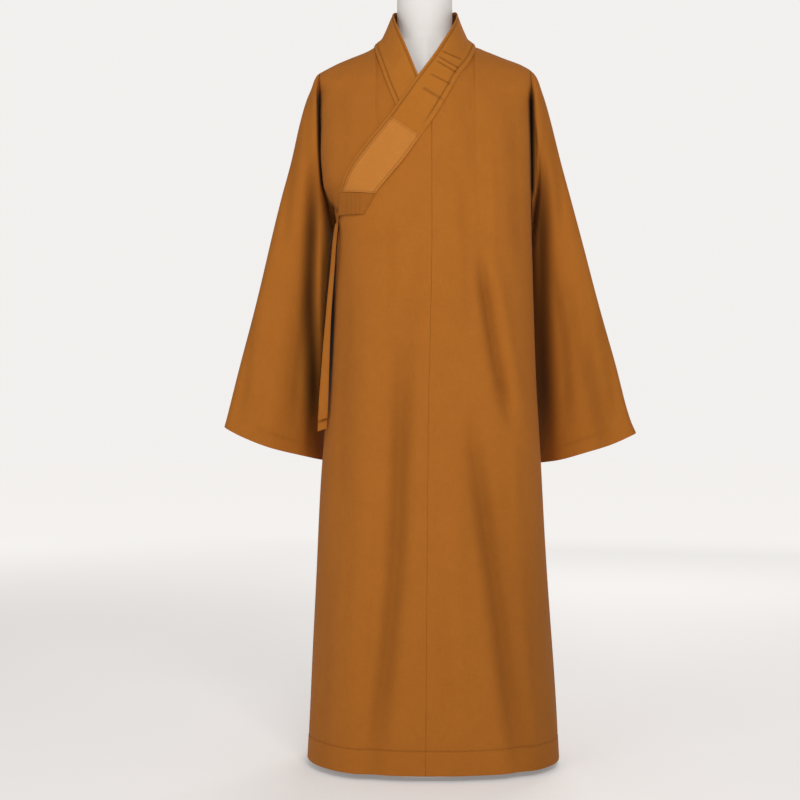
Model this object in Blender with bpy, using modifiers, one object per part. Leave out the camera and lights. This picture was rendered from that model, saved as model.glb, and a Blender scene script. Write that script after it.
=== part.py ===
"""Buddhist monk's long robe, standing on a plain limbless dress form.

Every size below is in millimetres, and MM turns it into metres when a mesh is made.
+X is the viewer's right (the wearer's left), -Y is the front and +Z is up.
The origin is the centre of the stand's underside, on the floor.

The robe is one base skin, given by the heights table SKIN and the shoulder line RIDGE.
Each panel is a stretch of that skin between its own seams, and what lies over a panel
is made from the same skin, moved out by whole layers of cloth.
"""

import math

import bmesh
import bpy
import numpy as np

MM = 0.001
WALL = 2.0
SEAM = 0.3
LAYER = 3.9
MID_Y = 5.0
ROUNDNESS = 2.7
HEM_HEIGHT = 12.0
CAP_FOOT = 1000.0
SIDE_X = 93.0
COLLAR_RISE = 1.92
NECK_ROUND = 18.0
ARMPIT_LIFT = 1.2
MIDDLE_X = 10.0
SHOULDERS_FROM = 1250.0
SHOULDERS_UP = 60.0
CUT_STEPS = 12
CUT_START = 1200.0
HEM_ROW = 0.08
SIDE_FADE = 6.0
INSIDE_BODY = (MIDDLE_X, MID_Y, 700.0)
INSIDE_CHEST = (0.0, 10.0, 1150.0)
BEHIND_TIES = (-150.0, 300.0, 850.0)

# Where the front's skin is one layer further out, over the inner front, and where the
# overlap lifts a little more to clear it at the armpit.
WRAP_END = {"from": 38.0, "to": 84.0}
ARMPIT_LIFT_PLACE = {"low": 830.0, "high": 930.0, "from": -130.0, "to": -90.0}

FRONT = -1.0
BACK = 1.0

# Base skin by height: the side edges as seen from the front, and the depths in front
# of and behind the middle plane.
SKIN = {
    "height": (12.0, 112.0, 304.0, 534.0, 632.0, 720.0, 886.0, 960.0, 1000.0,
               1043.0, 1060.0, 1078.0, 1098.0, 1200.0, 1325.0),
    "left": (-220.0, -215.0, -206.0, -194.5, -187.0, -179.0, -172.0, -168.5, -168.5,
             -173.0, -179.0, -187.0, -194.0, -200.0, -201.0),
    "right": (256.0, 250.0, 237.0, 223.0, 218.0, 213.0, 207.0, 205.5, 204.5,
              204.0, 203.7, 203.4, 203.0, 202.0, 201.0),
    "front": (190.0, 187.0, 181.0, 172.0, 168.0, 162.0, 151.0, 147.0, 144.0,
              143.0, 143.0, 143.0, 143.0, 143.0, 143.0),
    "back": (160.0, 158.0, 153.0, 147.0, 144.0, 140.0, 134.0, 132.0, 130.0,
             130.0, 130.0, 130.0, 130.0, 130.0, 130.0),
}

# Columns of a panel, as shares of the way from its inner to its outer edge, and its rows.
PANEL_SHARES = (0.0, 0.01, 0.10, 0.20, 0.30, 0.40, 0.46, 0.53,
                0.62, 0.71, 0.79, 0.87, 0.93, 0.97, 0.993, 1.0)
WRAP_SHARES = (-0.09, -0.045, 0.0) + PANEL_SHARES[2:]
LOWER_ROWS = 11
UPPER_ROWS = 9

# The shoulder line from the front: height at each distance to the side.
RIDGE = {
    "x": (-201.0, -166.0, -140.0, -111.0, -93.0, 93.0, 118.0, 150.0, 181.0, 201.0),
    "height": (1316.0, 1333.0, 1344.6, 1356.5, 1364.0, 1364.5, 1356.0, 1344.6, 1333.0, 1322.5),
}

# How far each armhole edge stays open, as a share of the depth, by height.
ARMHOLE = {
    "height": (1030.0, 1078.0, 1100.0, 1270.0, 1300.0, 1330.0),
    "front": (0.0, 0.0, 0.13, 0.15, 0.5, 0.6),
    "back": (0.0, 0.0, 0.20, 0.25, 0.5, 0.6),
}
ARMPIT_LEFT = 1078.0
ARMPIT_RIGHT = 1060.0

# How far the overlap's free edge stands back from the side, by height.
OVERLAP_SETBACK = {"height": (930.0, 960.0, 989.0, 1017.0, 1046.0), "distance": (0.0, 1.5, 6.0, 11.0, 18.0)}

CENTRE_FRONT = {"height": (12.0, 634.0, 1017.0, 1200.0), "x": (-1.5, 4.0, 11.0, 10.5)}

# Largest soft folds of the body: the heights and places of three points that each one
# runs through, then its half width and how far it stands out (in, where negative).
FOLD_COLUMNS = ("top", "top_x", "middle", "middle_x", "low", "low_x", "half_width", "rise")
FRONT_FOLDS = (
    (980, -143, 720, -150, 430, -154, 15, -5),
    (960, -104, 700, -112, -80, -142, 26, 9),
    (900, -42, 480, -50, -80, -106, 18, -14),
    (660, 42, 300, 58, -80, 78, 26, 6),
    (700, 76, 380, 120, -80, 186, 20, -14),
    (990, 90, 753, 130, 600, 164, 13, -11),
    (980, 120, 753, 162, 620, 190, 15, 8),
    (480, -176, 250, -184, -80, -192, 16, -5),
    (1270, 160, 1100, 168, 900, 176, 17, -5),
)
BACK_FOLDS = (
    (960, -118, 600, -130, -80, -144, 22, -9),
    (880, -42, 500, -54, -80, -72, 25, 6),
    (1020, 56, 560, 72, -80, 98, 21, -10),
    (760, 122, 400, 142, -80, 170, 20, 7),
    (1200, -92, 1000, -100, 720, -104, 19, -6),
    (1160, 112, 900, 120, 640, 150, 17, -6),
)

# Sleeves: the outer line from the shoulder to the cuff, the inner line from the armpit
# to the cuff, and the cuff's own line, all as seen from the front.
SLEEVE_LEFT = {
    "outer_x": (-201.8, -207.0, -212.5, -216.4, -226.0, -237.5, -255.0, -276.0,
                -312.0, -351.0, -380.0, -384.0),
    "outer_z": (1315.6, 1310.0, 1298.6, 1287.0, 1264.0, 1225.6, 1149.0, 1072.0,
                918.0, 765.0, 650.0, 636.0),
    "inner_share": (0.0, 0.04, 0.10, 0.20, 0.35, 0.55, 0.78, 1.0),
    "inner_x": (-187.4, -180.0, -169.5, -164.5, -166.0, -174.0, -186.0, -192.0),
    "inner_y": (5.0, 34.0, 68.0, 94.0, 106.0, 114.0, 121.0, 126.0),
    "inner_z": (1078.0, 1056.0, 1020.0, 965.0, 885.0, 780.0, 672.0, 568.0),
    "cuff_x": (-384.0, -355.0, -298.0, -221.0, -192.0),
    "cuff_z": (636.0, 621.0, 598.0, 577.0, 568.0),
}
SLEEVE_RIGHT = {
    "outer_x": (201.8, 212.0, 217.6, 221.4, 229.0, 240.0, 260.0, 281.0,
                321.0, 363.0, 394.0, 405.0),
    "outer_z": (1322.1, 1310.0, 1298.6, 1287.0, 1264.0, 1225.6, 1149.0, 1072.0,
                918.0, 765.0, 650.0, 625.0),
    "inner_share": (0.0, 0.04, 0.10, 0.20, 0.35, 0.55, 0.78, 1.0),
    "inner_x": (204.0, 206.0, 206.0, 204.5, 204.0, 208.0, 216.0, 219.0),
    "inner_y": (5.0, 34.0, 66.0, 92.0, 105.0, 113.0, 121.0, 126.0),
    "inner_z": (1060.0, 1040.0, 1004.0, 950.0, 872.0, 770.0, 664.0, 562.0),
    "cuff_x": (219.0, 224.0, 261.0, 305.0, 349.0, 405.0),
    "cuff_z": (562.0, 564.0, 573.0, 587.0, 601.0, 625.0),
}
SLEEVE_OUTER_Y_END = -10.0
ARMHOLE_CLEAR = 7.6
SLEEVE_SECTION = 2.3
SLEEVE_LENS = 3.0
SLEEVE_FULLNESS = {
    "share": (0.0, 0.05, 0.20, 0.50, 1.0),
    "front": (52.0, 52.0, 47.0, 37.0, 27.0),
    "back": (46.0, 46.0, 44.0, 36.0, 27.0),
}
SLEEVE_STEPS = (0.0, 0.006, 0.015, 0.03, 0.055, 0.09, 0.14, 0.2, 0.27, 0.35, 0.44,
                0.54, 0.64, 0.74, 0.83, 0.92, 0.985, 1.0)
SLEEVE_ACROSS = 13
SLEEVE_CROWDING = 0.45
HOLE_END = 8
SLEEVE_GROWTH = 0.012
SLEEVE_TUCK = 0.55
BACK_FOLD_SHIFT = 14.0
BACK_FOLD_SHARE = 0.6
SLEEVE_LEFT_FOLDS = (
    (1190, -217, 877, -216, 540, -220, 12, -14),
    (1000, -250, 820, -268, 540, -300, 20, 4),
)
SLEEVE_RIGHT_FOLDS = (
    (1190, 222, 880, 226, 540, 240, 14, -13),
    (960, 272, 780, 305, 540, 350, 20, -4),
)

# Collar: its seam edge and its free edge as seen from the front, and how far its
# middle follows the chest (1) or spans straight between its edges (0).
COLLAR_OUTER = {
    "side": (BACK, BACK, BACK, BACK, FRONT, FRONT, FRONT, FRONT,
             FRONT, FRONT, FRONT, FRONT, FRONT, FRONT, FRONT, FRONT),
    "seam_x": (0.3, 45.0, 82.0, 95.0, 94.0, 92.0, 87.5, 77.0,
               61.0, 43.0, 11.0, -10.0, -42.5, -72.0, -83.0, -90.5),
    "seam_z": (1376.0, 1374.5, 1367.5, 1364.5, 1358.0, 1347.0, 1332.0, 1311.0,
               1289.0, 1255.0, 1200.0, 1170.0, 1125.0, 1090.0, 1077.0, 1067.0),
    "free_x": (0.3, 33.0, 53.0, 57.5, 57.0, 54.0, 47.0, 30.0,
               10.0, -11.0, -46.0, -67.0, -102.0, -129.0, -144.0, -155.5),
    "free_z": (1440.0, 1438.0, 1434.0, 1428.0, 1419.0, 1404.0, 1386.0, 1354.0,
               1320.0, 1289.0, 1239.0, 1209.5, 1166.0, 1129.5, 1104.0, 1076.0),
    "follow": (0.0, 0.0, 0.0, 0.0, 0.0, 0.0, 0.1, 0.5, 1.0, 1.0, 1.0, 1.0, 1.0, 1.0, 1.0, 1.0),
}
COLLAR_INNER = {
    "side": (BACK, BACK, BACK, BACK, FRONT, FRONT, FRONT, FRONT, FRONT, FRONT, FRONT),
    "seam_x": (-0.3, -45.0, -82.0, -95.0, -94.0, -92.5, -88.5, -80.5, -70.0, -60.0, -49.0),
    "seam_z": (1376.0, 1374.5, 1367.5, 1364.5, 1357.0, 1346.0, 1329.0, 1303.0, 1271.0, 1245.0, 1218.0),
    "free_x": (-0.3, -33.0, -53.0, -58.0, -58.0, -54.5, -48.0, -40.0, -31.0, -20.0, -9.0),
    "free_z": (1440.0, 1438.0, 1434.0, 1428.0, 1421.0, 1404.0, 1382.0, 1359.0, 1335.0, 1305.0, 1275.0),
    "follow": (0.0, 0.0, 0.0, 0.0, 0.0, 0.0, 0.0, 0.4, 1.0, 1.0, 1.0),
}
COLLAR_END_TIP = {"seam_x": -111.0, "seam_z": 1030.0, "free_x": -156.0, "free_z": 1033.0}
BACK_COLLAR_LIFT = 1.2
SEWN_GAP = 0.8
SEWN_SHARE = 0.3
NECK_HOLLOW = 8.5
HOLLOW_RISE = (0.08, 0.32)
HOLLOW_FALL = 0.8
BEHIND_NECK = 40.0
COLLAR_STEPS = 30
INNER_COLLAR_STEPS = 22
COLLAR_END_STEPS = 3
COLLAR_ACROSS = (0.0, 0.08, 0.32, 0.66, 1.0)
PATCH_START = 0.733
PATCH_MARGIN = 0.25

# The line that the fronts are cut to under the collar.
UNDER_COLLAR = {
    "x": (-154.0, -140.0, -123.0, -100.0, -72.0, -38.5, -17.5, 16.0, 45.0, 60.0, 71.5, 82.0, 88.5, 91.0),
    "height": (1046.0, 1052.0, 1071.0, 1105.0, 1145.5, 1190.0, 1219.5, 1258.0, 1284.0, 1299.0,
               1313.0, 1334.0, 1352.0, 1363.8),
}
UNDER_INNER_COLLAR = {
    "x": (-91.0, -89.0, -84.5, -77.0, -67.0, -56.0, -46.0, -20.0, 30.0),
    "height": (1363.3, 1352.0, 1334.0, 1308.0, 1280.0, 1252.0, 1226.0, 1150.0, 1020.0),
}
BACK_NECK = {
    "x": (-91.0, -82.0, -45.0, 0.0, 45.0, 82.0, 91.0),
    "height": (1363.3, 1368.5, 1374.5, 1376.0, 1374.5, 1368.5, 1363.8),
}

# Side ties: place of the seat on the inner front, then the middle line down to the free
# end. The outer one is sewn beside the overlap's edge and the inner one near the side seam.
TIE_WIDTH = 18.0
TIE_OUTER = {
    "seat_x": -163.5,
    "height": (1040.0, 1018.0, 985.0, 930.0, 860.0, 780.0, 700.0, 652.0),
    "x": (-166.5, -171.0, -175.5, -180.5, -184.5, -188.0, -190.5, -192.0),
    "y": (-60.0, -69.0, -75.0, -73.0, -68.0, -67.0, -70.0, -76.0),
    "turn": (66.0, 60.0, 52.0, 42.0, 28.0, 18.0, 14.0, 12.0),
}
TIE_INNER = {
    "seat_x": -170.6,
    "height": (1036.0, 1014.0, 985.0, 930.0, 860.0, 780.0, 700.0, 632.0),
    "x": (-172.0, -173.5, -177.0, -182.5, -187.0, -190.0, -192.0, -193.5),
    "y": (-32.0, -37.0, -45.0, -53.0, -56.0, -58.0, -62.0, -68.0),
    "turn": (80.0, 74.0, 64.0, 48.0, 30.0, 18.0, 14.0, 12.0),
}
TIE_SEAT = 0.45
TIE_SEAT_LENGTH = 12.0
TIE_STEPS = 14
TIE_SLANT = 6.0
SLOPE_STEP = 2.0

# Dress form: how far it stays inside the robe, its top plate and its neck.
FORM_INSET = 16.0
FORM_SIDE_INSET = 15.0
FORM_SHOULDER_GAP = 2.7
FORM_FOOT = 730.0
FORM_TOP = 1370.0
FORM_NECK_RISE = 0.9
FORM_NECK_DROP = 5.5
FORM_NECK_EDGE = (95.0, 112.0)
FORM_CHEST = 1200.0
FORM_HIP = 166.0
FORM_WIDENING = (1030.0, 1110.0)
FORM_WAIST = 0.10
FORM_WAIST_HEIGHT = 960.0
FORM_WAIST_REACH = 90.0
FOOT_ROUNDING = 0.08
FORM_COLUMNS = 19
FORM_LOWER_ROWS = 6
FORM_UPPER_ROWS = 9
WELD = 0.00005
CREASE_ANGLE = 40.0
NECK_PROFILE = {
    "radius": (0.0, 49.0, 52.0, 53.0, 53.0, 55.0, 61.0, 66.0, 66.0, 0.0),
    "height": (1489.0, 1489.0, 1486.0, 1480.0, 1420.0, 1396.0, 1380.0, 1373.5, 1370.3, 1370.3),
}
CAP_PROFILE = {
    "radius": (0.0, 20.0, 38.0, 48.0, 51.0, 51.0, 0.0),
    "height": (1512.0, 1511.0, 1507.0, 1499.0, 1493.0, 1489.3, 1489.3),
}
NECK_SIDES = 24
POLE_RADIUS = 16.0
BASE_PROFILE = {
    "radius": (0.0, 26.0, 27.0, 60.0, 120.0, 142.0, 146.0, 146.0, 0.0),
    "height": (20.0, 20.0, 17.0, 15.0, 12.5, 10.0, 7.0, 0.0, 0.0),
}
BASE_SIDES = 32

COLOURS = {
    "robe cloth": ((0.38, 0.14, 0.025), 0.85),
    "collar patch cloth": ((0.58, 0.23, 0.05), 0.85),
    "form cover": ((0.78, 0.75, 0.72), 0.8),
    "form cap": ((0.8, 0.78, 0.74), 0.5),
    "painted steel": ((0.75, 0.74, 0.72), 0.4),
}


def smooth(x, xs, ys):
    """Monotone cubic curve through the points (xs, ys), read at x and level past its ends."""
    xs = np.asarray(xs, float)
    ys = np.asarray(ys, float)
    if xs[0] > xs[-1]:
        xs, ys = xs[::-1], ys[::-1]
    step = np.diff(xs)
    rise = np.diff(ys) / step
    tangent = np.empty_like(ys)
    tangent[0], tangent[-1] = rise[0], rise[-1]
    before, after = rise[:-1], rise[1:]
    weight_a = 2.0 * step[1:] + step[:-1]
    weight_b = step[1:] + 2.0 * step[:-1]
    turning = before * after <= 0.0
    safe_before = np.where(turning, 1.0, before)
    safe_after = np.where(turning, 1.0, after)
    mean = (weight_a + weight_b) / (weight_a / safe_before + weight_b / safe_after)
    tangent[1:-1] = np.where(turning, 0.0, mean)
    x = np.clip(np.asarray(x, float), xs[0], xs[-1])
    k = np.clip(np.searchsorted(xs, x, side="right") - 1, 0, len(xs) - 2)
    t = (x - xs[k]) / step[k]
    start = (1.0 + 2.0 * t) * (1.0 - t) ** 2 * ys[k] + t * (1.0 - t) ** 2 * step[k] * tangent[k]
    end = t * t * (3.0 - 2.0 * t) * ys[k + 1] + t * t * (t - 1.0) * step[k] * tangent[k + 1]
    return start + end


def ease(x, low, high):
    """0 below low, 1 above high, and smooth between them."""
    t = np.clip((np.asarray(x, float) - low) / (high - low), 0.0, 1.0)
    return t * t * (3.0 - 2.0 * t)


def skin_value(name, z):
    """One column of the base skin's table at the heights z."""
    return smooth(z, SKIN["height"], SKIN[name])


def ridge_height(x):
    """Height of the shoulder line, which climbs steeply inside the neck for the collar."""
    shoulder = smooth(x, RIDGE["x"], RIDGE["height"])
    return shoulder + COLLAR_RISE * np.maximum(SIDE_X - np.hypot(x, NECK_ROUND), 0.0)


def centre_front(z):
    """Place of the centre-front seam at the heights z."""
    return smooth(z, CENTRE_FRONT["height"], CENTRE_FRONT["x"])


def fold_relief(x, z, folds):
    """Sum of soft folds: each a bell across a curve through its three points."""
    total = np.zeros(np.broadcast(x, z).shape)
    for row in folds:
        fold = dict(zip(FOLD_COLUMNS, row))
        heights = (fold["low"], fold["middle"], fold["top"])
        path = smooth(z, heights, (fold["low_x"], fold["middle_x"], fold["top_x"]))
        length = 0.3 * (fold["top"] - fold["low"])
        strength = ease(z, fold["low"], fold["low"] + length)
        strength = strength * (1.0 - ease(z, fold["top"] - length, fold["top"]))
        total += fold["rise"] * strength * np.exp(-((x - path) / fold["half_width"]) ** 2)
    return total


def armhole_share(x, z, side):
    """Share of the depth at which the armhole edge stays open."""
    name = "front" if side < 0 else "back"
    lowered = np.where(np.asarray(x) > 0.0, ARMPIT_LEFT - ARMPIT_RIGHT, 0.0)
    return smooth(z + lowered, ARMHOLE["height"], ARMHOLE[name])


def skin_y(x, z, side):
    """Depth of the base skin: a superellipse across, closed over the shoulders by an arc."""
    x = np.asarray(x, float)
    z = np.asarray(z, float)
    left = skin_value("left", z)
    right = skin_value("right", z)
    across = np.clip(np.abs(2.0 * x - left - right) / (right - left - 2.0 * SEAM), 0.0, 1.0)
    bulge = (1.0 - across ** ROUNDNESS) ** (1.0 / ROUNDNESS)
    share = armhole_share(x, z, side)
    climb = np.clip((z - CAP_FOOT) / (ridge_height(x) - CAP_FOOT), 0.0, 1.0)
    cap = np.sqrt(1.0 - climb ** 2)
    depth = skin_value("front" if side < 0 else "back", z)
    folds = fold_relief(x, z, FRONT_FOLDS if side < 0 else BACK_FOLDS)
    folds = folds * np.clip(SIDE_FADE * (1.0 - across), 0.0, 1.0) * cap
    return MID_Y + side * (SEAM / 2 + depth * (share + (1.0 - share) * bulge) * cap + folds)


def moved_out(grid, distance, outward):
    """Grid moved along its own normals, which are turned to agree with outward."""
    down = np.gradient(grid, axis=0)
    across = np.gradient(grid, axis=1)
    normal = np.cross(down, across)
    normal /= np.maximum(np.linalg.norm(normal, axis=2, keepdims=True), 1e-9)
    agree = np.sign(np.sum(normal * outward, axis=2, keepdims=True))
    agree[agree == 0.0] = 1.0
    return grid + normal * agree * np.asarray(distance)[..., None]


def out_from_axis(grid):
    """Direction from the robe's middle to each point of a grid, up above the shoulders."""
    outward = grid - np.array([MIDDLE_X, MID_Y, 0.0])
    outward[..., 2] = np.where(grid[..., 2] > SHOULDERS_FROM, SHOULDERS_UP, 0.0)
    return outward


def rows_up(top, reach, lower_rows, upper_rows):
    """Heights of one column's points, from the hem to its top.

    The lower rows are even. The upper ones follow the sine of an even angle, so they
    crowd where the skin closes over the shoulder, and the last one is a narrow seam row.
    """
    low = np.linspace(HEM_HEIGHT, CAP_FOOT, lower_rows, endpoint=False)
    end_angle = math.asin(min(1.0, (top - CAP_FOOT) / (reach - CAP_FOOT)))
    steps = np.append(np.arange(upper_rows), (upper_rows - HEM_ROW, upper_rows))
    return np.append(low, CAP_FOOT + (reach - CAP_FOOT) * np.sin(end_angle * steps / upper_rows))


def panel(side, inner_edge, outer_edge, shares, top_line, lower_rows, upper_rows):
    """Stretch of the skin between two upright edges, cut at its top by top_line."""
    columns = []
    for share in shares:
        top = CUT_START
        for _ in range(CUT_STEPS):
            x_top = inner_edge(top) + (outer_edge(top) - inner_edge(top)) * share
            top = min(top_line(x_top), ridge_height(x_top))
        z = rows_up(top, ridge_height(x_top), lower_rows, upper_rows)
        x = inner_edge(z) + (outer_edge(z) - inner_edge(z)) * share
        columns.append(np.stack([x, skin_y(x, z, side), z], axis=1))
    return np.stack(columns, axis=1)


def table_line(table):
    """Function that reads a line's height at x from a table of x and height."""
    return lambda x: smooth(x, table["x"], table["height"])


def back_seam(offset):
    """Centre-back seam, straight up the middle, moved to one side by offset."""
    return lambda z: np.asarray(z) * 0.0 + offset


def front_seam(offset):
    """Centre-front seam moved to one side by offset."""
    return lambda z: centre_front(z) + offset


def side_edge(name, offset):
    """Side edge of the skin moved by offset."""
    return lambda z: skin_value(name, z) + offset


def overlap_edge(z):
    """Free side edge of the overlap, at the side seam but for its top."""
    setback = smooth(z, OVERLAP_SETBACK["height"], OVERLAP_SETBACK["distance"])
    return skin_value("left", z) + SEAM / 2 + setback


def over_wrap(grid):
    """Distance that the front's skin moves out where it lies over the inner front."""
    x, z = grid[..., 0], grid[..., 2]
    place = ARMPIT_LIFT_PLACE
    near_armpit = ease(z, place["low"], place["high"]) * (1.0 - ease(x, place["from"], place["to"]))
    return LAYER * (1.0 - ease(x, WRAP_END["from"], WRAP_END["to"])) + ARMPIT_LIFT * near_armpit


def mesh_object(name, points, faces, material):
    """Mesh object from points in millimetres, with one material, in the robe's collection."""
    mesh = bpy.data.meshes.new(name)
    mesh.from_pydata((np.asarray(points) * MM).tolist(), [], faces)
    mesh.materials.append(material)
    obj = bpy.data.objects.new(name, mesh)
    COLLECTION.objects.link(obj)
    return obj


def grid_faces(rows, columns, closed=False):
    """Quads of a grid of points, row by row, round and round where it is closed."""
    faces = []
    for r in range(rows - 1):
        for c in range(columns if closed else columns - 1):
            d = (c + 1) % columns
            faces.append((r * columns + c, r * columns + d, (r + 1) * columns + d, (r + 1) * columns + c))
    return faces


def facing(obj, outward_point):
    """Turn a mesh's faces so that most of them face away from outward_point."""
    work = bmesh.new()
    work.from_mesh(obj.data)
    bmesh.ops.recalc_face_normals(work, faces=work.faces)
    score = 0.0
    for face in work.faces:
        away = face.calc_center_median()
        away.x -= outward_point[0] * MM
        away.y -= outward_point[1] * MM
        away.z -= outward_point[2] * MM
        score += face.normal.dot(away) * face.calc_area()
    if score < 0.0:
        bmesh.ops.reverse_faces(work, faces=work.faces)
    work.to_mesh(obj.data)
    work.free()


def cloth(name, grid, material, closed=False, inside_point=INSIDE_BODY, wall=WALL):
    """Cloth wall: an open surface with its thickness added inwards."""
    rows, columns = grid.shape[:2]
    obj = mesh_object(name, grid.reshape(-1, 3), grid_faces(rows, columns, closed), material)
    facing(obj, inside_point)
    obj.data.shade_smooth()
    solidify = obj.modifiers.new("wall", "SOLIDIFY")
    solidify.thickness = wall * MM
    solidify.offset = -1.0
    return obj


def sleeve_grid(table, sign, folds):
    """Sleeve as loops from the armhole to the cuff.

    A front and a back face are blended between four lines seen from the front: the
    armhole edge, the outer line, the inner line and the cuff. Each loop's middle line
    is a quarter of a superellipse that turns back beside the body, and the two faces
    stand off it by a lens, which grows quickly out of the narrow armhole.
    """
    gap = sign * SEAM / 2
    shares = np.array(SLEEVE_STEPS)
    even = np.linspace(0.0, 1.0, SLEEVE_ACROSS + 1)
    u = even + SLEEVE_CROWDING * (0.5 - 0.5 * np.cos(math.pi * even) - even)
    angle = u * math.pi / 2
    blend_x = np.sin(angle) ** (2.0 / SLEEVE_SECTION)
    blend_y = 1.0 - np.cos(angle) ** (2.0 / SLEEVE_SECTION)

    outer_x = np.array(table["outer_x"])
    outer_z = np.array(table["outer_z"])
    run = np.append(0.0, np.cumsum(np.hypot(np.diff(outer_x), np.diff(outer_z))))
    run /= run[-1]
    line_x = smooth(shares, run, outer_x)
    line_z = smooth(shares, run, outer_z)
    line_y = MID_Y + (SLEEVE_OUTER_Y_END - MID_Y) * shares
    inner_names = ("inner_x", "inner_y", "inner_z")
    inner = [smooth(shares, table["inner_share"], table[name]) for name in inner_names]

    hole_z = outer_z[0] + (table["inner_z"][0] - outer_z[0]) * u
    edge = skin_value("left" if sign < 0 else "right", hole_z) + gap
    hole_x = edge + (outer_x[0] - edge[0]) * (1.0 - u) ** HOLE_END
    hole_x = hole_x + (table["inner_x"][0] - edge[-1]) * u ** HOLE_END
    cuff_x = outer_x[-1] + (table["inner_x"][-1] - outer_x[-1]) * blend_x
    cuff_z = smooth(cuff_x, table["cuff_x"], table["cuff_z"])

    t = shares[:, None]
    x = (1 - t) * hole_x + (1 - blend_x) * line_x[:, None] + blend_x * inner[0][:, None]
    x = x - (1 - t) * ((1 - blend_x) * hole_x[0] + blend_x * hole_x[-1])
    z = (1 - t) * hole_z + t * cuff_z + (1 - blend_x) * line_z[:, None] + blend_x * inner[2][:, None]
    z = z - (1 - t) * ((1 - blend_x) * hole_z[0] + blend_x * hole_z[-1])
    z = z - t * ((1 - blend_x) * cuff_z[0] + blend_x * cuff_z[-1])
    y = (1 - blend_y) * line_y[:, None] + blend_y * inner[1][:, None]
    clear = ease(t, 0.0, 0.02) * (1.0 - ease(t, 0.12, 0.3))
    clear = clear * ease(u, 0.25, 0.6) * (1.0 - ease(u, 0.80, 1.0))
    x = x + sign * ARMHOLE_CLEAR * clear

    lens = (1.0 - np.abs(2.0 * u - 1.0) ** SLEEVE_LENS) ** (1.0 / SLEEVE_LENS)
    grown = 1.0 - np.exp(-t / SLEEVE_GROWTH)
    tuck = 1.0 - SLEEVE_TUCK * ease(u, 0.55, 0.85) * ease(t, 0.02, 0.12)
    faces = []
    for side, name in ((FRONT, "front"), (BACK, "back")):
        fullness = smooth(t, SLEEVE_FULLNESS["share"], SLEEVE_FULLNESS[name]) * lens
        fullness = fullness * (tuck if side < 0 else 1.0)
        hole = np.abs(skin_y(edge, hole_z, side) - MID_Y) - SEAM / 2
        depth = (1 - grown) * hole + grown * fullness
        if side < 0:
            depth = depth + fold_relief(x, z, folds) * lens * ease(t, 0.0, 0.1)
        else:
            behind = fold_relief(x + sign * BACK_FOLD_SHIFT, z, folds)
            depth = depth + BACK_FOLD_SHARE * behind * lens * ease(t, 0.0, 0.1)
        faces.append(np.stack([x, y + side * depth, z], axis=2))
    return np.concatenate([faces[0], faces[1][:, -2:0:-1]], axis=1)


def sewn_down(v):
    """How much closer the band lies to the robe along its seam edge."""
    return (LAYER - WALL - SEWN_GAP) * (1.0 - ease(v, 0.0, SEWN_SHARE))


def neck_hollow(v, follow):
    """How far the band curves in towards the neck, between its edges, where it stands free."""
    return NECK_HOLLOW * (1.0 - follow) * ease(v, *HOLLOW_RISE) * (1.0 - v) ** HOLLOW_FALL


def collar_edges(table, steps):
    """Points along a collar's seam edge and free edge, and how far each follows the chest."""
    count = len(table["side"])
    knots = np.linspace(0.0, 1.0, count)
    places = np.linspace(0.0, 1.0, steps + 1)
    side = np.array(table["side"])
    edges = []
    for edge in ("seam", "free"):
        x = np.array(table[edge + "_x"])
        z = np.array(table[edge + "_z"])
        y = np.array([float(skin_y(x[k], z[k], side[k])) for k in range(count)])
        edges.append(np.stack([smooth(places, knots, v) for v in (x, y, z)], axis=1))
    return edges[0], edges[1], smooth(places, knots, table["follow"])


def collar_grid(table, steps, distance):
    """Collar band from its seam edge to its free edge, moved out by distance."""
    seam, free, follow = collar_edges(table, steps)
    v = np.array(COLLAR_ACROSS)[None, :, None]
    grid = (1 - v) * seam[:, None, :] + v * free[:, None, :]
    chest = skin_y(grid[..., 0], grid[..., 2], FRONT)
    grid[..., 1] = grid[..., 1] + follow[:, None] * (chest - grid[..., 1])
    lift = distance(grid) - sewn_down(v[0, :, 0]) - neck_hollow(v[0, :, 0], follow[:, None])
    return moved_out(grid, lift, out_from_axis(grid))


def chest_strip(seam_points, free_points, distance):
    """Strip across the chest between two short edges, moved out by distance."""
    v = np.array(COLLAR_ACROSS)[None, :, None]
    grid = (1 - v) * seam_points[:, None, :] + v * free_points[:, None, :]
    grid[..., 1] = skin_y(grid[..., 0], grid[..., 2], FRONT)
    return moved_out(grid, distance(grid) - sewn_down(v[0, :, 0]), out_from_axis(grid))


def over_front(grid):
    """Distance of the outer collar: over the wrapped front, or over the shoulder panels."""
    return LAYER + over_wrap(grid) + BACK_COLLAR_LIFT * ease(grid[..., 1], 0.0, BEHIND_NECK)


def over_shoulder(grid):
    """Distance of the inner collar, one layer out and a little more at the back."""
    return LAYER + BACK_COLLAR_LIFT * ease(grid[..., 1], 0.0, BEHIND_NECK)


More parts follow.
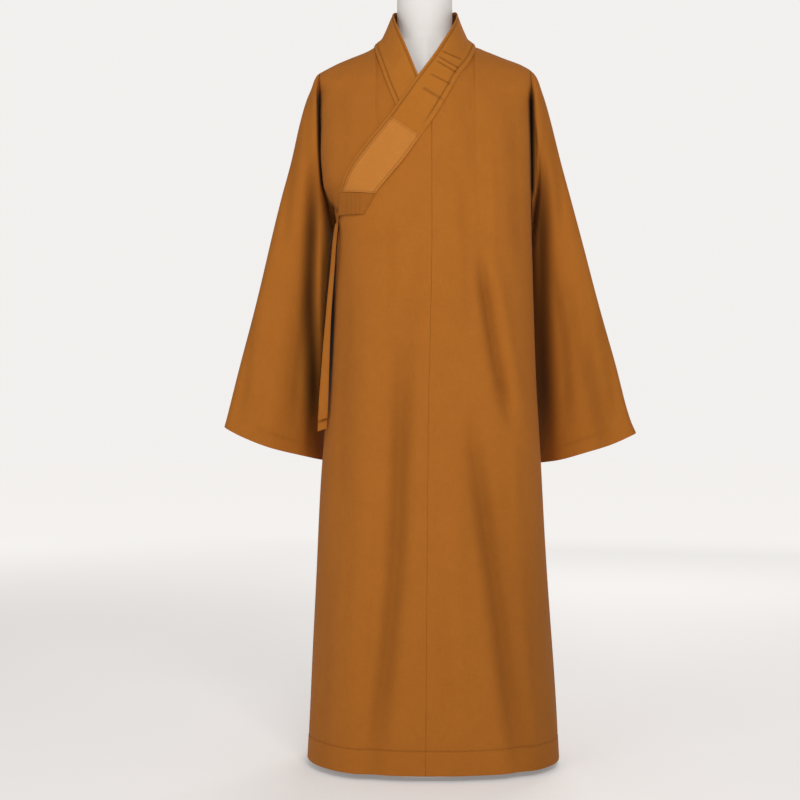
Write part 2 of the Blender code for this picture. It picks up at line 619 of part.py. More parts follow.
def collar_outer_parts(cloth_material, patch_material):
    """Outer collar, its end piece and the light patch, all on the same band."""
    band = collar_grid(COLLAR_OUTER, COLLAR_STEPS, over_front)
    cloth("collar_outer", band, cloth_material, inside_point=INSIDE_CHEST)

    last = {name: COLLAR_OUTER[name][-1] for name in ("seam_x", "seam_z", "free_x", "free_z")}
    part = np.linspace(0.0, 1.0, COLLAR_END_STEPS + 1)
    ends = []
    for edge in ("seam", "free"):
        start = np.array([last[edge + "_x"], 0.0, last[edge + "_z"]])
        stop = np.array([COLLAR_END_TIP[edge + "_x"], 0.0, COLLAR_END_TIP[edge + "_z"]])
        start = start + (stop - start) * SEAM / np.linalg.norm(stop - start)
        ends.append(start + (stop - start) * part[:, None])
    cloth("collar_end", chest_strip(ends[0], ends[1], over_front), cloth_material,
          inside_point=INSIDE_CHEST)

    first = round(PATCH_START * COLLAR_STEPS)
    seat = band[first:]
    rows = seat.shape[0]
    seam_side = seat[:, :1] + (seat[:, 1:2] - seat[:, :1]) * PATCH_MARGIN
    free_side = seat[:, -1:] + (seat[:, -2:-1] - seat[:, -1:]) * PATCH_MARGIN
    patch = np.concatenate([seam_side, seat[:, 1:-1], free_side], axis=1)
    lift = np.full((rows, patch.shape[1]), WALL * 0.5 + SEAM)
    patch = moved_out(patch, lift, out_from_axis(patch))
    cloth("collar_patch", patch, patch_material, inside_point=INSIDE_CHEST, wall=WALL * 0.5)


def on_panel(grid, x, z):
    """Depth of a panel's mesh at x and z, read along its columns and then across them."""
    columns = range(grid.shape[1])
    line_x = np.array([np.interp(z, grid[:, c, 2], grid[:, c, 0]) for c in columns])
    line_y = np.array([np.interp(z, grid[:, c, 2], grid[:, c, 1]) for c in columns])
    order = np.argsort(line_x)
    return np.interp(x, line_x[order], line_y[order])


def tie(name, route, under, material):
    """Flat side tie: a ribbon down its route, turned on its way, with a slanted end.

    Its top lies flat against the panel under it, where it is sewn, and the rest hangs free.
    """
    s = np.linspace(0.0, 1.0, TIE_STEPS + 1) ** 1.25
    z = route["height"][0] + (route["height"][-1] - route["height"][0]) * s
    free_x = smooth(z, route["height"], route["x"])
    free_y = smooth(z, route["height"], route["y"])
    free = np.stack([free_x, free_y, z], axis=1)

    seat_x = route["seat_x"]
    depth = np.array([on_panel(under, seat_x, height) for height in z])
    beside = np.array([on_panel(under, seat_x + SLOPE_STEP, height) for height in z])
    above = np.array([on_panel(under, seat_x, height + SLOPE_STEP) for height in z])
    slope_x = (beside - depth) / SLOPE_STEP
    slope_z = (above - depth) / SLOPE_STEP
    normal = np.stack([slope_x, -np.ones_like(z), slope_z], axis=1)
    normal /= np.linalg.norm(normal, axis=1, keepdims=True)
    seat = np.stack([np.full_like(z, seat_x), depth, z], axis=1) + (WALL + TIE_SEAT) * normal

    top = route["height"][0]
    seated = ease(z, top - 2.0 * TIE_SEAT_LENGTH, top - TIE_SEAT_LENGTH)
    middle = free + seated[:, None] * (seat - free)
    turn = np.radians(smooth(z, route["height"], route["turn"]))
    turn = turn + seated * (np.arctan(-slope_x) - turn)
    grid = []
    for v in (-0.5, -0.17, 0.17, 0.5):
        across = np.stack([np.cos(turn), -np.sin(turn), TIE_SLANT / TIE_WIDTH * s ** 6], axis=1)
        grid.append(middle + v * TIE_WIDTH * across)
    cloth(name, np.stack(grid, axis=1), material, inside_point=BEHIND_TIES)


def torso_section():
    """Torso of the form as upright loops, from its front foot over its top to its back foot.

    It is the robe's own skin made narrower and shallower, level at its foot, and with
    a flat plate at its top for the neck.
    """
    half_chest = (skin_value("right", FORM_CHEST) - skin_value("left", FORM_CHEST)) / 2 - FORM_SIDE_INSET
    columns = []
    for share in np.sin(np.linspace(-math.pi / 2, math.pi / 2, FORM_COLUMNS)):
        loop = []
        for side in (FRONT, BACK):
            top = FORM_TOP
            for _ in range(CUT_STEPS):
                middle = (skin_value("left", top) + skin_value("right", top)) / 2
                x_top = middle + half_chest * share
                reach = smooth(x_top, RIDGE["x"], RIDGE["height"]) - FORM_SHOULDER_GAP
                reach = reach - FORM_NECK_DROP * (1.0 - ease(abs(x_top), *FORM_NECK_EDGE))
                reach = reach + FORM_NECK_RISE * max(SIDE_X - abs(x_top), 0.0)
                top = min(reach, FORM_TOP)
            end_angle = math.asin(min(1.0, (top - CAP_FOOT) / (reach - CAP_FOOT)))
            angles = end_angle * np.linspace(0.0, 1.0, FORM_UPPER_ROWS)
            low = np.linspace(FORM_FOOT, CAP_FOOT, FORM_LOWER_ROWS, endpoint=False)
            heights = np.append(low, CAP_FOOT + (reach - CAP_FOOT) * np.sin(angles))
            waist = 1.0 - FORM_WAIST * np.exp(-((heights - FORM_WAIST_HEIGHT) / FORM_WAIST_REACH) ** 2)
            foot = np.sqrt(1.0 - (1.0 - ease(heights, FORM_FOOT - 30.0, FORM_FOOT + 90.0)) ** 2)
            half = FORM_HIP * waist
            half = half + (half_chest - half) * ease(heights, *FORM_WIDENING)
            bulge = (1.0 - abs(share) ** ROUNDNESS) ** (1.0 / ROUNDNESS)
            climb = np.clip((heights - CAP_FOOT) / (reach - CAP_FOOT), 0.0, 1.0)
            depth = skin_value("front" if side < 0 else "back", np.maximum(heights, CAP_FOOT))
            depth = (depth - FORM_INSET) * waist * bulge * np.sqrt(1.0 - climb ** 2)
            x = (middle + half * share) * (1.0 - FOOT_ROUNDING * (1.0 - foot))
            y = MID_Y + side * depth * (1.0 - FOOT_ROUNDING * (1.0 - foot))
            loop.append(np.stack([x, y, heights], axis=1))
        columns.append(np.concatenate([loop[0], loop[1][::-1]]))
    return np.stack(columns, axis=0)


def dress_form(cover, cap_material, steel):
    """Torso, neck, cap, pole and round base of the stand."""
    grid = torso_section()
    loops, points = grid.shape[:2]
    faces = grid_faces(loops, points, closed=True)
    torso = mesh_object("form_torso", grid.reshape(-1, 3), faces, cover)
    work = bmesh.new()
    work.from_mesh(torso.data)
    bmesh.ops.remove_doubles(work, verts=work.verts, dist=WELD)
    bmesh.ops.dissolve_degenerate(work, edges=work.edges, dist=WELD)
    bmesh.ops.recalc_face_normals(work, faces=work.faces)
    work.to_mesh(torso.data)
    work.free()
    torso.data.shade_smooth()

    turned("form_neck", NECK_PROFILE, NECK_SIDES, cover, MID_Y)
    turned("form_cap", CAP_PROFILE, NECK_SIDES, cap_material, MID_Y)
    turned("stand_base", BASE_PROFILE, BASE_SIDES, steel, 0.0)

    foot = BASE_PROFILE["height"][0] + SEAM
    top = FORM_FOOT - SEAM
    middle = (0.0, 0.0, (top + foot) / 2 * MM)
    length = (top - foot) * MM
    radius = POLE_RADIUS * MM
    bpy.ops.mesh.primitive_cylinder_add(vertices=NECK_SIDES, radius=radius, depth=length, location=middle)
    pole = bpy.context.object
    pole.name = "stand_pole"
    pole.data.name = "stand_pole"
    pole.data.materials.append(steel)
    pole.data.shade_smooth()
    pole.data.set_sharp_from_angle(angle=math.radians(CREASE_ANGLE))
    for other in list(pole.users_collection):
        other.objects.unlink(pole)
    COLLECTION.objects.link(pole)


def turned(name, profile, sides, material, y):
    """Solid turned about an upright axis from a profile that runs down its outer side."""
    points = [(r * MM, 0.0, h * MM) for r, h in zip(profile["radius"], profile["height"])]
    edges = [(k, k + 1) for k in range(len(points) - 1)]
    mesh = bpy.data.meshes.new(name)
    mesh.from_pydata(points, edges, [])
    mesh.materials.append(material)
    obj = bpy.data.objects.new(name, mesh)
    COLLECTION.objects.link(obj)
    obj.location = (0.0, y * MM, 0.0)
    screw = obj.modifiers.new("turn", "SCREW")
    screw.axis = "Z"
    screw.steps = sides
    screw.render_steps = sides
    screw.use_merge_vertices = True
    screw.merge_threshold = WELD
    screw.use_normal_calculate = False
    return obj


def principled(name):
    """Plain Principled material from the colours table."""
    colour, roughness = COLOURS[name]
    material = bpy.data.materials.new(name)
    material.use_nodes = True
    shader = material.node_tree.nodes["Principled BSDF"]
    shader.inputs["Base Color"].default_value = (*colour, 1.0)
    shader.inputs["Roughness"].default_value = roughness
    material.diffuse_color = (*colour, 1.0)
    return material


def body_panels(material):
    """Two backs, the wearer's left front, the overlap and the inner front, whose grid it returns."""
    half = SEAM / 2
    ridge = ridge_height
    neck = table_line(BACK_NECK)
    collar = table_line(UNDER_COLLAR)
    inner_collar = table_line(UNDER_INNER_COLLAR)

    def back_top(x):
        return float(neck(x)) if abs(x) < BACK_NECK["x"][-1] else float(ridge(x))

    def front_top(x):
        return float(collar(x)) if x < UNDER_COLLAR["x"][-1] else float(ridge(x))

    def inner_top(x):
        return float(inner_collar(x)) if x > UNDER_INNER_COLLAR["x"][0] else float(ridge(x))

    left_edge = side_edge("left", half)
    right_edge = side_edge("right", -half)
    left = panel(BACK, back_seam(half), right_edge, PANEL_SHARES, back_top, LOWER_ROWS, UPPER_ROWS)
    cloth("back_left", left, material)
    right = panel(BACK, back_seam(-half), left_edge, PANEL_SHARES, back_top, LOWER_ROWS, UPPER_ROWS)
    cloth("back_right", right, material)

    front = panel(FRONT, front_seam(half), right_edge, PANEL_SHARES, front_top, LOWER_ROWS, UPPER_ROWS)
    cloth("front_left", moved_out(front, over_wrap(front), out_from_axis(front)), material)

    overlap = panel(FRONT, front_seam(-half), overlap_edge, PANEL_SHARES, front_top, LOWER_ROWS, UPPER_ROWS)
    cloth("front_overlap", moved_out(overlap, over_wrap(overlap), out_from_axis(overlap)), material)

    inner = panel(FRONT, front_seam(-half), left_edge, WRAP_SHARES, inner_top, LOWER_ROWS, UPPER_ROWS)
    cloth("front_inner", inner, material)
    return inner


for old in list(bpy.data.objects):
    bpy.data.objects.remove(old)
COLLECTION = bpy.data.collections.new("buddhist monk robe")
bpy.context.scene.collection.children.link(COLLECTION)

ROBE = principled("robe cloth")
PATCH = principled("collar patch cloth")
INNER_FRONT = body_panels(ROBE)
cloth("sleeve_left", sleeve_grid(SLEEVE_RIGHT, 1.0, SLEEVE_RIGHT_FOLDS), ROBE, closed=True,
      inside_point=(300.0, 20.0, 900.0))
cloth("sleeve_right", sleeve_grid(SLEEVE_LEFT, -1.0, SLEEVE_LEFT_FOLDS), ROBE, closed=True,
      inside_point=(-290.0, 20.0, 900.0))
collar_outer_parts(ROBE, PATCH)
cloth("collar_inner", collar_grid(COLLAR_INNER, INNER_COLLAR_STEPS, over_shoulder), ROBE,
      inside_point=INSIDE_CHEST)
tie("tie_outer", TIE_OUTER, INNER_FRONT, ROBE)
tie("tie_inner", TIE_INNER, INNER_FRONT, ROBE)
dress_form(principled("form cover"), principled("form cap"), principled("painted steel"))
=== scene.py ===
"""Looks of a Buddhist monk's long robe on a plain limbless dress form.

Every size below is in millimetres, and MM turns it into metres when a mesh is made.
+X is the viewer's right (the wearer's left), -Y is the front and +Z is up.

The robe is one base skin, given by the heights table SKIN and the shoulder line RIDGE.
Each panel is a stretch of that skin between its own seams, and what lies over a panel
is made from the same skin, moved out by whole layers of cloth. Each piece is a grid of
points worked out as whole arrays and made a thin closed shell.
"""

import math

import bmesh
import bpy
import numpy as np
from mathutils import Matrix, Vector


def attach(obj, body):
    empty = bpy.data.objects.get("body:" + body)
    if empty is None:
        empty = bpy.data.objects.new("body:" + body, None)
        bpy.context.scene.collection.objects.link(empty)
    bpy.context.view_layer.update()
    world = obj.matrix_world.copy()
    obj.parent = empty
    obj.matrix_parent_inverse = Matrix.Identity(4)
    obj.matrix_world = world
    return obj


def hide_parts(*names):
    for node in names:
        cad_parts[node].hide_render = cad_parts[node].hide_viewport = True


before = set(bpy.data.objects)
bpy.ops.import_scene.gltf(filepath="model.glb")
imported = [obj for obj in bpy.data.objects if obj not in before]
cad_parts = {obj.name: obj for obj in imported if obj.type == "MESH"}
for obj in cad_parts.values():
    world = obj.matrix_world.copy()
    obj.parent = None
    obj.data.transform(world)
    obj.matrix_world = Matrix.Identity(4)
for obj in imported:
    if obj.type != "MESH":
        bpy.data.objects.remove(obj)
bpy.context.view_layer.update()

MM = 0.001
FINE = 1.0
WALL = 2.0
THICK = 1.3
SEAM = 0.3
LAYER = 3.9
MID_Y = 5.0
ROUNDNESS = 2.7
HEM_HEIGHT = 12.0
CAP_FOOT = 1000.0
SIDE_X = 93.0
COLLAR_RISE = 1.92
RIDGE_SOFT = 7.0
RIDGE_SPREAD = 0.75
SHOULDER_HEIGHT = 1364.0
NECK_ROUND = 18.0
ARMPIT_LIFT = 1.2
MIDDLE_X = 10.0
SHOULDERS_FROM = 1250.0
SHOULDERS_UP = 60.0
CUT_STEPS = 12
CUT_START = 1200.0
SIDE_FADE = 6.0

# Where the front's skin is one layer further out, over the inner front, and where the
# overlap lifts a little more to clear it at the armpit.
WRAP_END = {"from": 38.0, "to": 84.0}
ARMPIT_LIFT_PLACE = {"low": 830.0, "high": 930.0, "from": -130.0, "to": -90.0}

FRONT = -1.0
BACK = 1.0

# Base skin by height: the side edges as seen from the front, and the depths in front
# of and behind the middle plane.
SKIN = {
    "height": (12.0, 112.0, 304.0, 534.0, 632.0, 720.0, 886.0, 960.0, 1000.0,
               1043.0, 1060.0, 1078.0, 1098.0, 1200.0, 1325.0),
    "left": (-220.0, -215.0, -206.0, -194.5, -187.0, -179.0, -172.0, -168.5, -168.5,
             -173.0, -179.0, -187.0, -194.0, -200.0, -201.0),
    "right": (256.0, 250.0, 237.0, 223.0, 218.0, 213.0, 207.0, 205.5, 204.5,
              204.0, 203.7, 203.4, 203.0, 202.0, 201.0),
    "front": (190.0, 187.0, 181.0, 172.0, 168.0, 162.0, 151.0, 147.0, 144.0,
              143.0, 143.0, 143.0, 143.0, 143.0, 143.0),
    "back": (160.0, 158.0, 153.0, 147.0, 144.0, 140.0, 134.0, 132.0, 130.0,
             130.0, 130.0, 130.0, 130.0, 130.0, 130.0),
}

# The shoulder line from the front: height at each distance to the side.
RIDGE = {
    "x": (-201.0, -166.0, -140.0, -111.0, -93.0, 93.0, 118.0, 150.0, 181.0, 201.0),
    "height": (1316.0, 1333.0, 1344.6, 1356.5, 1364.0, 1364.5, 1356.0, 1344.6, 1333.0, 1322.5),
}

# How far each armhole edge stays open, as a share of the depth, by height.
ARMHOLE = {
    "height": (1030.0, 1078.0, 1100.0, 1270.0, 1300.0, 1330.0),
    "front": (0.0, 0.0, 0.13, 0.15, 0.5, 0.6),
    "back": (0.0, 0.0, 0.20, 0.25, 0.5, 0.6),
}
ARMPIT_LEFT = 1078.0
ARMPIT_RIGHT = 1060.0

# How far the overlap's free edge stands back from the side, by height.
OVERLAP_SETBACK = {"height": (640.0, 676.0, 800.0, 900.0, 960.0, 989.0, 1017.0, 1046.0),
                   "distance": (0.0, 4.5, 5.0, 5.0, 5.5, 7.5, 11.5, 18.0)}

CENTRE_FRONT = {"height": (12.0, 634.0, 1017.0, 1200.0), "x": (-1.5, 4.0, 11.0, 10.5)}

# Largest soft folds of the body: the heights and places of three points that each one
# runs through, then its half width and how far it stands out (in, where negative).
FOLD_COLUMNS = ("top", "top_x", "middle", "middle_x", "low", "low_x", "half_width", "rise")
FRONT_FOLDS = (
    (980, -143, 720, -150, 430, -154, 15, -5),
    (960, -104, 700, -112, -80, -142, 26, 9),
    (900, -42, 480, -50, -80, -106, 18, -14),
    (660, 42, 300, 58, -80, 78, 26, 6),
    (700, 76, 380, 120, -80, 186, 20, -14),
    (990, 90, 753, 130, 600, 164, 13, -11),
    (980, 120, 753, 162, 620, 190, 15, 8),
    (480, -176, 250, -184, -80, -192, 16, -5),
    (1270, 160, 1100, 168, 900, 176, 17, -5),
)
BACK_FOLDS = (
    (960, -118, 600, -130, -80, -144, 22, -9),
    (880, -42, 500, -54, -80, -72, 25, 6),
    (1020, 56, 560, 72, -80, 98, 21, -10),
    (760, 122, 400, 142, -80, 170, 20, 7),
    (1200, -92, 1000, -100, 720, -104, 19, -6),
    (1160, 112, 900, 120, 640, 150, 17, -6),
)

# Sleeves: the outer line from the shoulder to the cuff, the inner line from the armpit
# to the cuff, and the cuff's own line, all as seen from the front.
SLEEVE_LEFT = {
    "outer_x": (-201.8, -207.0, -212.5, -216.4, -226.0, -237.5, -255.0, -276.0,
                -312.0, -351.0, -380.0, -384.0),
    "outer_z": (1315.6, 1310.0, 1298.6, 1287.0, 1264.0, 1225.6, 1149.0, 1072.0,
                918.0, 765.0, 650.0, 636.0),
    "inner_share": (0.0, 0.04, 0.10, 0.20, 0.35, 0.55, 0.78, 1.0),
    "inner_x": (-187.4, -178.0, -167.5, -164.5, -166.0, -174.0, -186.0, -192.0),
    "inner_y": (5.0, 34.0, 68.0, 94.0, 106.0, 114.0, 121.0, 126.0),
    "inner_z": (1078.0, 1056.0, 1020.0, 965.0, 885.0, 780.0, 672.0, 568.0),
    "cuff_x": (-384.0, -355.0, -298.0, -221.0, -192.0),
    "cuff_z": (636.0, 621.0, 598.0, 577.0, 568.0),
}
SLEEVE_RIGHT = {
    "outer_x": (201.8, 212.0, 217.6, 221.4, 229.0, 240.0, 260.0, 281.0,
                321.0, 363.0, 394.0, 405.0),
    "outer_z": (1322.1, 1310.0, 1298.6, 1287.0, 1264.0, 1225.6, 1149.0, 1072.0,
                918.0, 765.0, 650.0, 625.0),
    "inner_share": (0.0, 0.04, 0.10, 0.20, 0.35, 0.55, 0.78, 1.0),
    "inner_x": (204.0, 206.0, 206.0, 204.5, 204.0, 208.0, 216.0, 219.0),
    "inner_y": (5.0, 34.0, 66.0, 92.0, 105.0, 113.0, 121.0, 126.0),
    "inner_z": (1060.0, 1040.0, 1004.0, 950.0, 872.0, 770.0, 664.0, 562.0),
    "cuff_x": (219.0, 224.0, 261.0, 305.0, 349.0, 405.0),
    "cuff_z": (562.0, 564.0, 573.0, 587.0, 601.0, 625.0),
}
SLEEVE_OUTER_Y_END = -10.0
ARMHOLE_CLEAR = 7.6
SLEEVE_SECTION = 2.3
SLEEVE_LENS = 3.0
SLEEVE_FULLNESS = {
    "share": (0.0, 0.05, 0.20, 0.50, 1.0),
    "front": (52.0, 52.0, 47.0, 37.0, 27.0),
    "back": (46.0, 46.0, 44.0, 36.0, 27.0),
}
HOLE_END = 8
SLEEVE_GROWTH = 0.012
SLEEVE_TUCK = 0.55
BACK_FOLD_SHIFT = 14.0
BACK_FOLD_SHARE = 0.6
SLEEVE_LEFT_FOLDS = (
    (1190, -217, 877, -216, 540, -220, 12, -14),
    (1000, -250, 820, -268, 540, -300, 20, 4),
)
SLEEVE_RIGHT_FOLDS = (
    (1190, 222, 880, 226, 540, 240, 14, -13),
    (960, 272, 780, 305, 540, 350, 20, -4),
)

# Collar: its seam edge and its free edge as seen from the front, and how far its
# middle follows the chest (1) or spans straight between its edges (0).
COLLAR_OUTER = {
    "side": (BACK, BACK, BACK, BACK, FRONT, FRONT, FRONT, FRONT,
             FRONT, FRONT, FRONT, FRONT, FRONT, FRONT, FRONT, FRONT),
    "seam_x": (0.3, 45.0, 82.0, 95.0, 94.0, 92.0, 87.5, 77.0,
               61.0, 43.0, 11.0, -10.0, -42.5, -72.0, -83.0, -90.5),
    "seam_z": (1376.0, 1374.5, 1367.5, 1364.5, 1358.0, 1347.0, 1332.0, 1311.0,
               1289.0, 1255.0, 1200.0, 1170.0, 1125.0, 1090.0, 1077.0, 1067.0),
    "free_x": (0.3, 33.0, 53.0, 57.5, 57.0, 54.0, 47.0, 30.0,
               10.0, -11.0, -46.0, -67.0, -102.0, -129.0, -144.0, -155.5),
    "free_z": (1440.0, 1438.0, 1434.0, 1428.0, 1419.0, 1404.0, 1386.0, 1354.0,
               1320.0, 1289.0, 1239.0, 1209.5, 1166.0, 1129.5, 1104.0, 1076.0),
    "follow": (0.0, 0.0, 0.0, 0.0, 0.0, 0.0, 0.1, 0.5, 1.0, 1.0, 1.0, 1.0, 1.0, 1.0, 1.0, 1.0),
}
COLLAR_INNER = {
    "side": (BACK, BACK, BACK, BACK, FRONT, FRONT, FRONT, FRONT, FRONT, FRONT, FRONT),
    "seam_x": (-0.3, -45.0, -82.0, -95.0, -94.0, -92.5, -88.5, -80.5, -70.0, -60.0, -49.0),
    "seam_z": (1376.0, 1374.5, 1367.5, 1364.5, 1357.0, 1346.0, 1329.0, 1303.0, 1271.0, 1245.0, 1218.0),
    "free_x": (-0.3, -33.0, -53.0, -58.0, -58.0, -54.5, -48.0, -40.0, -31.0, -20.0, -9.0),
    "free_z": (1440.0, 1438.0, 1434.0, 1428.0, 1421.0, 1404.0, 1382.0, 1359.0, 1335.0, 1305.0, 1275.0),
    "follow": (0.0, 0.0, 0.0, 0.0, 0.0, 0.0, 0.0, 0.4, 1.0, 1.0, 1.0),
}
COLLAR_END_TIP = {"seam_x": -111.0, "seam_z": 1030.0, "free_x": -156.0, "free_z": 1033.0}
BACK_COLLAR_LIFT = 1.2
SEWN_GAP = 0.8
SEWN_SHARE = 0.3
NECK_HOLLOW = 8.5
HOLLOW_RISE = (0.08, 0.32)
HOLLOW_FALL = 0.8
BEHIND_NECK = 40.0
PATCH_START = 0.733
PATCH_FROM = 0.02
PATCH_TO = 0.915

# The line that the fronts are cut to under the collar.
UNDER_COLLAR = {
    "x": (-154.0, -140.0, -123.0, -100.0, -72.0, -38.5, -17.5, 16.0, 45.0, 60.0, 71.5, 82.0, 88.5, 91.0),
    "height": (1046.0, 1052.0, 1071.0, 1105.0, 1145.5, 1190.0, 1219.5, 1258.0, 1284.0, 1299.0,
               1313.0, 1334.0, 1352.0, 1363.8),
}
UNDER_INNER_COLLAR = {
    "x": (-91.0, -89.0, -84.5, -77.0, -67.0, -56.0, -46.0, -20.0, 30.0),
    "height": (1363.3, 1352.0, 1334.0, 1308.0, 1280.0, 1252.0, 1226.0, 1150.0, 1020.0),
}
BACK_NECK = {
    "x": (-91.0, -82.0, -45.0, 0.0, 45.0, 82.0, 91.0),
    "height": (1363.3, 1368.5, 1374.5, 1376.0, 1374.5, 1368.5, 1363.8),
}

# Side ties: place of the seat on the inner front, then the middle line down to the free
# end. The outer one is sewn beside the overlap's edge and the inner one near the side seam.
TIE_WIDTH = 18.0
TIE_OUTER = {
    "seat_x": -163.5,
    "height": (1040.0, 1018.0, 985.0, 930.0, 860.0, 780.0, 700.0, 652.0),
    "x": (-164.5, -168.0, -172.0, -177.5, -183.5, -188.0, -190.5, -192.0),
    "y": (-60.0, -69.0, -75.0, -73.0, -68.0, -67.0, -70.0, -76.0),
    "turn": (66.0, 60.0, 52.0, 42.0, 28.0, 18.0, 14.0, 12.0),
}
TIE_INNER = {
    "seat_x": -170.6,
    "height": (1036.0, 1014.0, 985.0, 930.0, 860.0, 780.0, 700.0, 632.0),
    "x": (-172.0, -173.5, -177.0, -182.5, -187.0, -190.0, -192.0, -193.5),
    "y": (-32.0, -37.0, -45.0, -53.0, -56.0, -58.0, -62.0, -68.0),
    "turn": (80.0, 74.0, 64.0, 48.0, 30.0, 18.0, 14.0, 12.0),
}
TIE_SEAT = 0.45
TIE_SLIM = {
    "height": (1040.0, 1000.0, 950.0, 860.0, 780.0, 690.0),
    "share": (0.7, 0.66, 0.62, 0.62, 0.78, 1.0),
}
TIE_SEAT_LENGTH = 12.0
TIE_SLANT = 6.0
SLOPE_STEP = 2.0

# Dress form: how far it stays inside the robe, its top plate and its neck.
FORM_INSET = 16.0
FORM_SIDE_INSET = 15.0
FORM_SHOULDER_GAP = 2.7
FORM_FOOT = 730.0
FORM_TOP = 1370.0
FORM_NECK_RISE = 0.9
FORM_NECK_DROP = 5.5
FORM_NECK_EDGE = (95.0, 112.0)
FORM_CHEST = 1200.0
FORM_HIP = 166.0
FORM_WIDENING = (1030.0, 1110.0)
FORM_WAIST = 0.10
FORM_WAIST_HEIGHT = 960.0
FORM_WAIST_REACH = 90.0
FOOT_ROUNDING = 0.08
FORM_COLUMNS = 90
FORM_LOWER_ROWS = 40
FORM_UPPER_ROWS = 50
WELD = 0.00005
CREASE_ANGLE = 40.0
CAP_PROFILE = {
    "radius": (0.0, 20.0, 38.0, 48.0, 51.0, 51.0, 0.0),
    "height": (1512.0, 1511.0, 1507.0, 1499.0, 1493.0, 1489.3, 1489.3),
}
POLE_RADIUS = 16.0
BASE_PROFILE = {
    "radius": (0.0, 26.0, 27.0, 60.0, 120.0, 142.0, 146.0, 146.0, 0.0),
    "height": (20.0, 20.0, 17.0, 15.0, 12.5, 10.0, 7.0, 0.0, 0.0),
}


# Smaller creases of the body, in the same columns. The skin takes them too, so what
# lies over a panel follows them.
FRONT_CREASES = (
    (1040, -70, 880, -66, 760, -76, 9, -2.0),
    (1010, -20, 800, -24, 560, -30, 11, -2.2),
    (1120, 60, 960, 74, 780, 86, 10, -2.4),
    (1180, 116, 1040, 124, 880, 128, 9, 2.2),
    (820, 20, 560, 26, 300, 22, 12, 2.4),
    (640, -100, 400, -96, 120, -100, 10, -2.6),
    (560, 150, 360, 172, 120, 190, 11, 2.8),
    (520, -150, 300, -158, 60, -168, 10, 3.0),
    (420, 24, 240, 30, 40, 38, 11, -2.6),
    (1240, 66, 1160, 84, 1060, 92, 9, -1.8),
    (1290, -160, 1220, -150, 1120, -148, 11, -2.4),
    (1000, 92, 753, 131, 600, 162, 6, -4.0),
    (760, 72, 420, 112, -80, 180, 12, -4.0),
    (760, 152, 480, 172, -80, 212, 12, 3.0),
    (860, -86, 560, -92, 120, -120, 12, 3.0),
)
BACK_CREASES = (
    (1120, -30, 900, -26, 640, -34, 11, -2.4),
    (1240, 44, 1100, 52, 900, 50, 10, 2.2),
    (820, -86, 560, -92, 260, -100, 11, -2.8),
    (760, 26, 480, 34, 160, 36, 12, 2.6),
    (600, -20, 380, -16, 80, -14, 10, -2.4),
    (1260, -140, 1160, -132, 1020, -130, 11, -2.6),
    (1270, 146, 1170, 138, 1030, 136, 10, -2.4),
    (560, 150, 320, 160, 80, 172, 11, -2.8),
)
CREASE_WANDER = 3.0
CREASE_WANDER_LENGTH = 62.0
CREASE_LIMIT = 12.5
SLACK = 0.7

# Rows and columns of the grids.
PANEL_COLUMNS = 64
PANEL_ROWS = 120
SLEEVE_ROWS = 110
SLEEVE_COLUMNS = 46
BAND_ROWS = 270
TUCK_ROWS = {"place": 0.44, "reach": 0.13, "share": 0.42}
BAND_COLUMNS = 34
PATCH_COLUMNS = 30
END_ROWS = 56
TIE_ROWS = 110
TIE_COLUMNS = 12

# Sewing: where the hem, cuff and band edges are stitched down, and how the thread lies.
HEM_DEPTH = 44.5
CUFF_DEPTH = 26.0
SEAM_ROLL = 0.6
SEAM_ROLL_WIDTH = 3.0
EDGE_ROLL = 0.7
GROOVE = 0.8
GROOVE_WIDTH = 1.7
STITCH_LENGTH = 2.6
STITCH_PITCH = 3.7
STITCH_RADIUS = 0.3
PUCKER = 0.28
PUCKER_LENGTH = 13.0

# Tuck lines sewn across the collar, as seen in the photo: from the neck's edge to the seam.
TUCKS = (
    ((443.3, 51.3), (461.0, 59.0)),
    ((439.5, 56.6), (457.9, 67.3)),
    ((438.0, 61.2), (456.0, 72.0)),
    ((431.8, 74.2), (449.4, 83.4)),
    ((424.0, 88.0), (444.0, 99.5)),
)
BAND_EDGE_LINE = 5.6
BAND_STRIP_LINE = 9.4

# Camera, from the photo's own perspective.
PHOTO_SIZE = 800.0
PHOTO_SCALE = 1.92
CAMERA_DISTANCE = 2900.0
CAMERA_HEIGHT = 688.0
CAMERA_X = -47.4
SENSOR = 36.0

HEM_RISE = 0.35
FREE_EDGE_LINE = 5.0
CUFF_GROOVE = 0.35
INNER_REACH = -0.09

# Painted shade: how far, from 0 to 1, the cloth's colour is darkened in folds, along
# sewn lines and in hidden gaps, and where.
SHOULDER_FADE = (1255.0, 1296.0)
ARMHOLE_FADE = (1066.0, 1092.0)
ARMHOLE_REACH = (2.0, 7.5)
FOLD_SHADE = 0.2
SLEEVE_SHADE = 0.72
FOLD_DEPTH = 13.0
LINE_SHADE = 0.36
HEM_SHADE = 0.1
UNDER_SHADE = 1.0
OVERLAP_GAP = {"height": (600.0, 665.0, 742.0, 800.0, 877.0, 934.0, 963.0, 992.0, 1020.0, 1046.0),
               "x": (-185.0, -182.0, -180.0, -178.0, -175.5, -173.0, -170.5, -166.0, -161.5, -157.0)}
GAP_REACH = (5.0, 8.0)
HOLLOW_SIDE = (168.0, 174.0)
HOLLOW_FOOT = (960.0, 1000.0)
HOLLOW_TOP = (1056.0, 1070.0)
GAP_FOOT = (655.0, 672.0)
GAP_TOP = (1042.0, 1052.0)
LOWER_SHADE = {
    "height": (-80.0, 120.0, 300.0, 480.0, 640.0),
    "x": (184.0, 164.0, 141.0, 112.0, 90.0),
    "share": 0.16,
    "before": 10.0,
    "after": 26.0,
}
LOWER_SHADE_TOP = (250.0, 640.0)
UNDER_REACH = (20.0, 30.0)
UNDER_HEIGHT = (1044.0, 1056.0)
